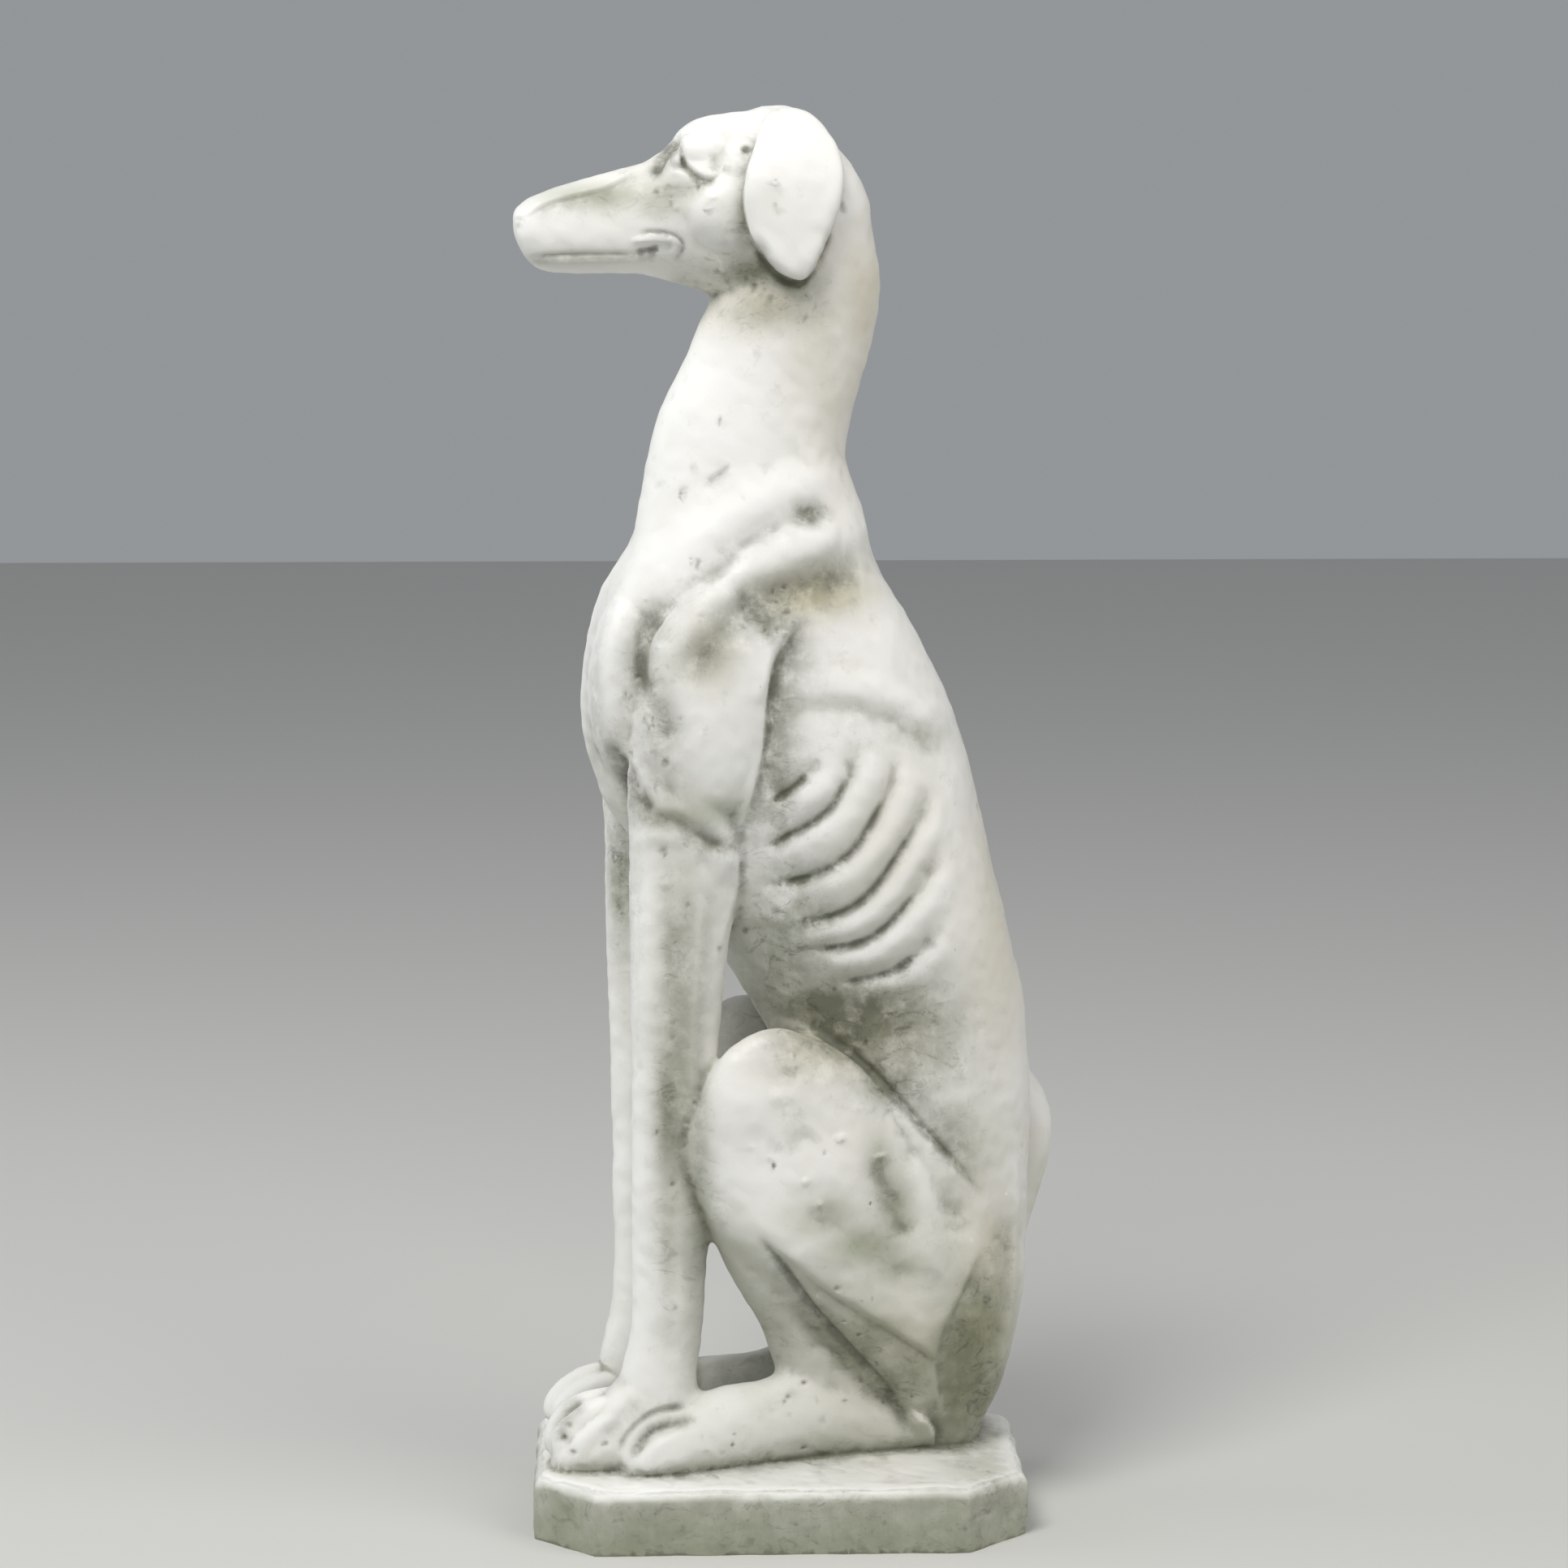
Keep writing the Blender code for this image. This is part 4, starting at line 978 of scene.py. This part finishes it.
class Nodes:
    """Short ways to add and join the nodes of one material."""

    def __init__(self, name):
        self.material = bpy.data.materials.new(name)
        self.material.use_nodes = True
        self.tree = self.material.node_tree
        self.shader = self.tree.nodes["Principled BSDF"]

    def add(self, kind, **inputs):
        node = self.tree.nodes.new(kind)
        for name, value in inputs.items():
            self.set(node, name.replace("_", " "), value)
        return node

    def set(self, node, name, value):
        socket = node.inputs[name]
        if isinstance(value, bpy.types.NodeSocket):
            self.tree.links.new(value, socket)
        else:
            socket.default_value = value

    def attribute(self, name):
        node = self.tree.nodes.new("ShaderNodeAttribute")
        node.attribute_name = name
        return node.outputs["Fac"]

    def noise(self, scale, detail, roughness, stretch, twist):
        place = self.tree.nodes.new("ShaderNodeTexCoord").outputs["Object"]
        mapping = self.add("ShaderNodeMapping", Vector=place, Scale=stretch)
        node = self.add("ShaderNodeTexNoise", Vector=mapping.outputs[0], Scale=scale, Detail=detail)
        node.inputs["Roughness"].default_value = roughness
        node.inputs["Distortion"].default_value = twist
        return node.outputs["Fac"]

    def ramp(self, value, start, end):
        """value's step from 0 at start to 1 at end."""
        node = self.add("ShaderNodeMapRange", Value=value)
        node.interpolation_type = "SMOOTHSTEP"
        node.inputs["From Min"].default_value = start
        node.inputs["From Max"].default_value = end
        return node.outputs["Result"]

    def math(self, operation, first, second):
        node = self.tree.nodes.new("ShaderNodeMath")
        node.operation = operation
        node.use_clamp = True
        for socket, value in zip(node.inputs, (first, second)):
            if isinstance(value, bpy.types.NodeSocket):
                self.tree.links.new(value, socket)
            else:
                socket.default_value = value
        return node.outputs[0]

    def mix(self, share, first, second):
        node = self.tree.nodes.new("ShaderNodeMix")
        node.data_type = "RGBA"
        for name, value in (("Factor", share), ("A", first), ("B", second)):
            kind = "VALUE" if name == "Factor" else "RGBA"
            socket = next(s for s in node.inputs if s.name == name and s.type == kind)
            if isinstance(value, bpy.types.NodeSocket):
                self.tree.links.new(value, socket)
            else:
                socket.default_value = value
        return next(s for s in node.outputs if s.type == "RGBA")


# The stone's colours: clean, worn, stained tan, damp and painted shade, dirty and painted shade, and in its
# deepest hollows
PALE = (0.80, 0.79, 0.75, 1)
CHALK = (0.89, 0.89, 0.88, 1)
TAN = (0.55, 0.48, 0.31, 1)
DAMP_AND_SHADE = (0.28, 0.30, 0.19, 1)
GREY = (0.185, 0.195, 0.125, 1)
SOOT = (0.09, 0.09, 0.07, 1)


# Each noise: scale, detail, roughness, stretch along the axes, twist
BROAD = (9, 4, 0.55, (1, 1, 1), 0.0)
FINE = (90, 6, 0.65, (1, 1, 1), 0.0)
STREAKS = (34, 5, 0.6, (1, 1, 0.22), 0.0)
SPECKS = (230, 3, 0.7, (1, 1, 1), 0.0)
SMEARS = (70, 5, 0.7, (1, 1, 1.6), 1.4)
MOTTLE = (60, 5, 0.7, (1, 1, 1), 0.0)
GRAIN = (420, 4, 0.6, (1, 1, 1), 0.0)
# From which to which value of its noise each effect sets in
CHALK_FROM, CHALK_TO = 0.35, 0.7
TAN_FROM, TAN_TO = 0.25, 0.65
GREY_FROM, GREY_TO = 0.24, 0.70
SPECKS_FROM, SPECKS_TO = 0.62, 0.74
SMEARS_FROM, SMEARS_TO = 0.52, 0.68
CREVICE_FROM, CREVICE_TO = 0.2, 0.6
MOTTLE_FROM, MOTTLE_TO = 0.58, 0.76
ROUGH_FROM, ROUGH_TO = -0.6, 1.6
# How far each effect goes at most
WORN, DAMPED_AND_SHADED, GREYED, SPECKED, SMEARED, CREVICED, MOTTLED = 0.6, 0.5, 0.9, 0.6, 0.6, 0.7, 0.2
STREAK_PART, FINE_PART, GRAIN_PART = 0.6, 0.5, 0.5
STONE_SPECULAR = 0.35
BUMP_STRENGTH, BUMP_DISTANCE = 0.25, 0.0006


def cast_stone():
    """Off-white cast stone: chalky where worn, tan and olive where damp, grey to black in its hollows; the
    olive and the grey are also painted shade.
    """
    n = Nodes("cast_stone")
    broad = n.noise(*BROAD)
    fine = n.noise(*FINE)
    streaks = n.noise(*STREAKS)
    grey = n.attribute("grey")
    stone = n.mix(n.ramp(broad, CHALK_FROM, CHALK_TO), PALE, CHALK)
    stone = n.mix(n.math("MULTIPLY", n.attribute("wear"), WORN), stone, CHALK)
    tan_share = n.math("MULTIPLY", n.attribute("tan"), n.ramp(broad, TAN_FROM, TAN_TO))
    stone = n.mix(tan_share, stone, TAN)
    # Damp stains, and painted shade on the undersides, the plinth's sides, the lower haunch and the rump's
    # rear
    stone = n.mix(n.math("MULTIPLY", n.attribute("damp_and_shade"), DAMPED_AND_SHADED), stone, DAMP_AND_SHADE)
    # Grey dirt, and grey painted shade on the legs' inner sides, the plinth's sides, the belly and the
    # rump's rear
    broken = n.math("ADD", n.math("MULTIPLY", streaks, STREAK_PART), n.math("MULTIPLY", fine, FINE_PART))
    amount = n.math("MULTIPLY", grey, n.ramp(broken, GREY_FROM, GREY_TO))
    stone = n.mix(n.math("MULTIPLY", amount, GREYED), stone, GREY)
    specks = n.math("MULTIPLY", grey, n.ramp(n.noise(*SPECKS), SPECKS_FROM, SPECKS_TO))
    stone = n.mix(n.math("MULTIPLY", specks, SPECKED), stone, SOOT)
    smears = n.math("MULTIPLY", grey, n.ramp(n.noise(*SMEARS), SMEARS_FROM, SMEARS_TO))
    stone = n.mix(n.math("MULTIPLY", smears, SMEARED), stone, SOOT)
    crevice = n.math("MULTIPLY", n.attribute("deep"), n.ramp(fine, CREVICE_FROM, CREVICE_TO))
    stone = n.mix(n.math("MULTIPLY", crevice, CREVICED), stone, SOOT)
    mottle = n.math("MULTIPLY", n.ramp(n.noise(*MOTTLE), MOTTLE_FROM, MOTTLE_TO), MOTTLED)
    stone = n.mix(mottle, stone, GREY)
    n.set(n.shader, "Base Color", stone)
    n.set(n.shader, "Roughness", n.ramp(fine, ROUGH_FROM, ROUGH_TO))
    n.set(n.shader, "Specular IOR Level", STONE_SPECULAR)
    coarse = n.math("MULTIPLY", fine, GRAIN_PART)
    grain = n.math("ADD", n.math("MULTIPLY", n.noise(*GRAIN), GRAIN_PART), coarse)
    bump = n.add("ShaderNodeBump", Height=grain, Strength=BUMP_STRENGTH, Distance=BUMP_DISTANCE)
    n.set(n.shader, "Normal", bump.outputs[0])
    return n.material


def statue():
    mesh = dog_on_plinth()
    carve(mesh)
    mesh = fewer_faces(mesh)
    flat_underside(mesh)
    inside_solid_box(mesh)
    paint_weathering(mesh)
    mesh.shade_smooth()
    mesh.materials.append(cast_stone())
    piece = shown("greyhound_stone", mesh)
    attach(piece, "root")
    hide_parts(NODE)


FLOOR_SIZE = 12.0
FLOOR_COLOUR = (0.62, 0.62, 0.60, 1)
FLOOR_ROUGHNESS = 0.9
SKY_COLOUR = (0.92, 0.96, 1.0, 1)
SKY_STRENGTH = 0.32
# Each light: name, place, size, power and colour
LIGHTS = [
    ("key", (-0.9, -1.5, 2.9), 1.3, 62, (1.0, 0.98, 0.95)),
    ("front", (-2.5, 0.2, 1.0), 1.5, 16, (0.97, 0.99, 1.0)),
    ("fill", (1.9, -1.4, 2.2), 2.0, 30, (1.0, 0.97, 0.92)),
]
# The camera stands where the photograph was taken from
CAMERA_AIM = Vector((0.0041, 0.0, 0.4102))
CAMERA_DISTANCE = 2.5
CAMERA_AZIMUTH = math.radians(-2.0)
CAMERA_ELEVATION = math.radians(7.9)
CAMERA_LENS = 104.15
SENSOR_WIDTH = 36.0


def floor():
    bm = bmesh.new()
    bmesh.ops.create_grid(bm, x_segments=1, y_segments=1, size=FLOOR_SIZE / 2)
    mesh = bpy.data.meshes.new("floor")
    bm.to_mesh(mesh)
    bm.free()
    ground = shown("floor", mesh)
    n = Nodes("floor")
    n.set(n.shader, "Base Color", FLOOR_COLOUR)
    n.set(n.shader, "Roughness", FLOOR_ROUGHNESS)
    mesh.materials.append(n.material)


def area_light(name, place, size, power, colour):
    data = bpy.data.lights.new(name, "AREA")
    data.size = size
    data.energy = power
    data.color = colour
    lamp = shown(name, data)
    lamp.location = place
    lamp.rotation_euler = (CAMERA_AIM - Vector(place)).to_track_quat("-Z", "Y").to_euler()


def lights():
    world = bpy.data.worlds.new("soft sky")
    world.use_nodes = True
    background = world.node_tree.nodes["Background"]
    background.inputs["Color"].default_value = SKY_COLOUR
    background.inputs["Strength"].default_value = SKY_STRENGTH
    bpy.context.scene.world = world
    for light in LIGHTS:
        area_light(*light)


def camera():
    data = bpy.data.cameras.new("camera")
    data.lens = CAMERA_LENS
    data.sensor_width = SENSOR_WIDTH
    view = shown("camera", data)
    level = math.cos(CAMERA_ELEVATION) * CAMERA_DISTANCE
    above = math.sin(CAMERA_ELEVATION) * CAMERA_DISTANCE
    offset = (math.sin(CAMERA_AZIMUTH) * level, -math.cos(CAMERA_AZIMUTH) * level, above)
    view.location = CAMERA_AIM + Vector(offset)
    view.rotation_euler = (CAMERA_AIM - view.location).to_track_quat("-Z", "Y").to_euler()
    bpy.context.scene.camera = view


camera()
statue()
floor()
lights()
bpy.context.scene.view_settings.view_transform = "Standard"
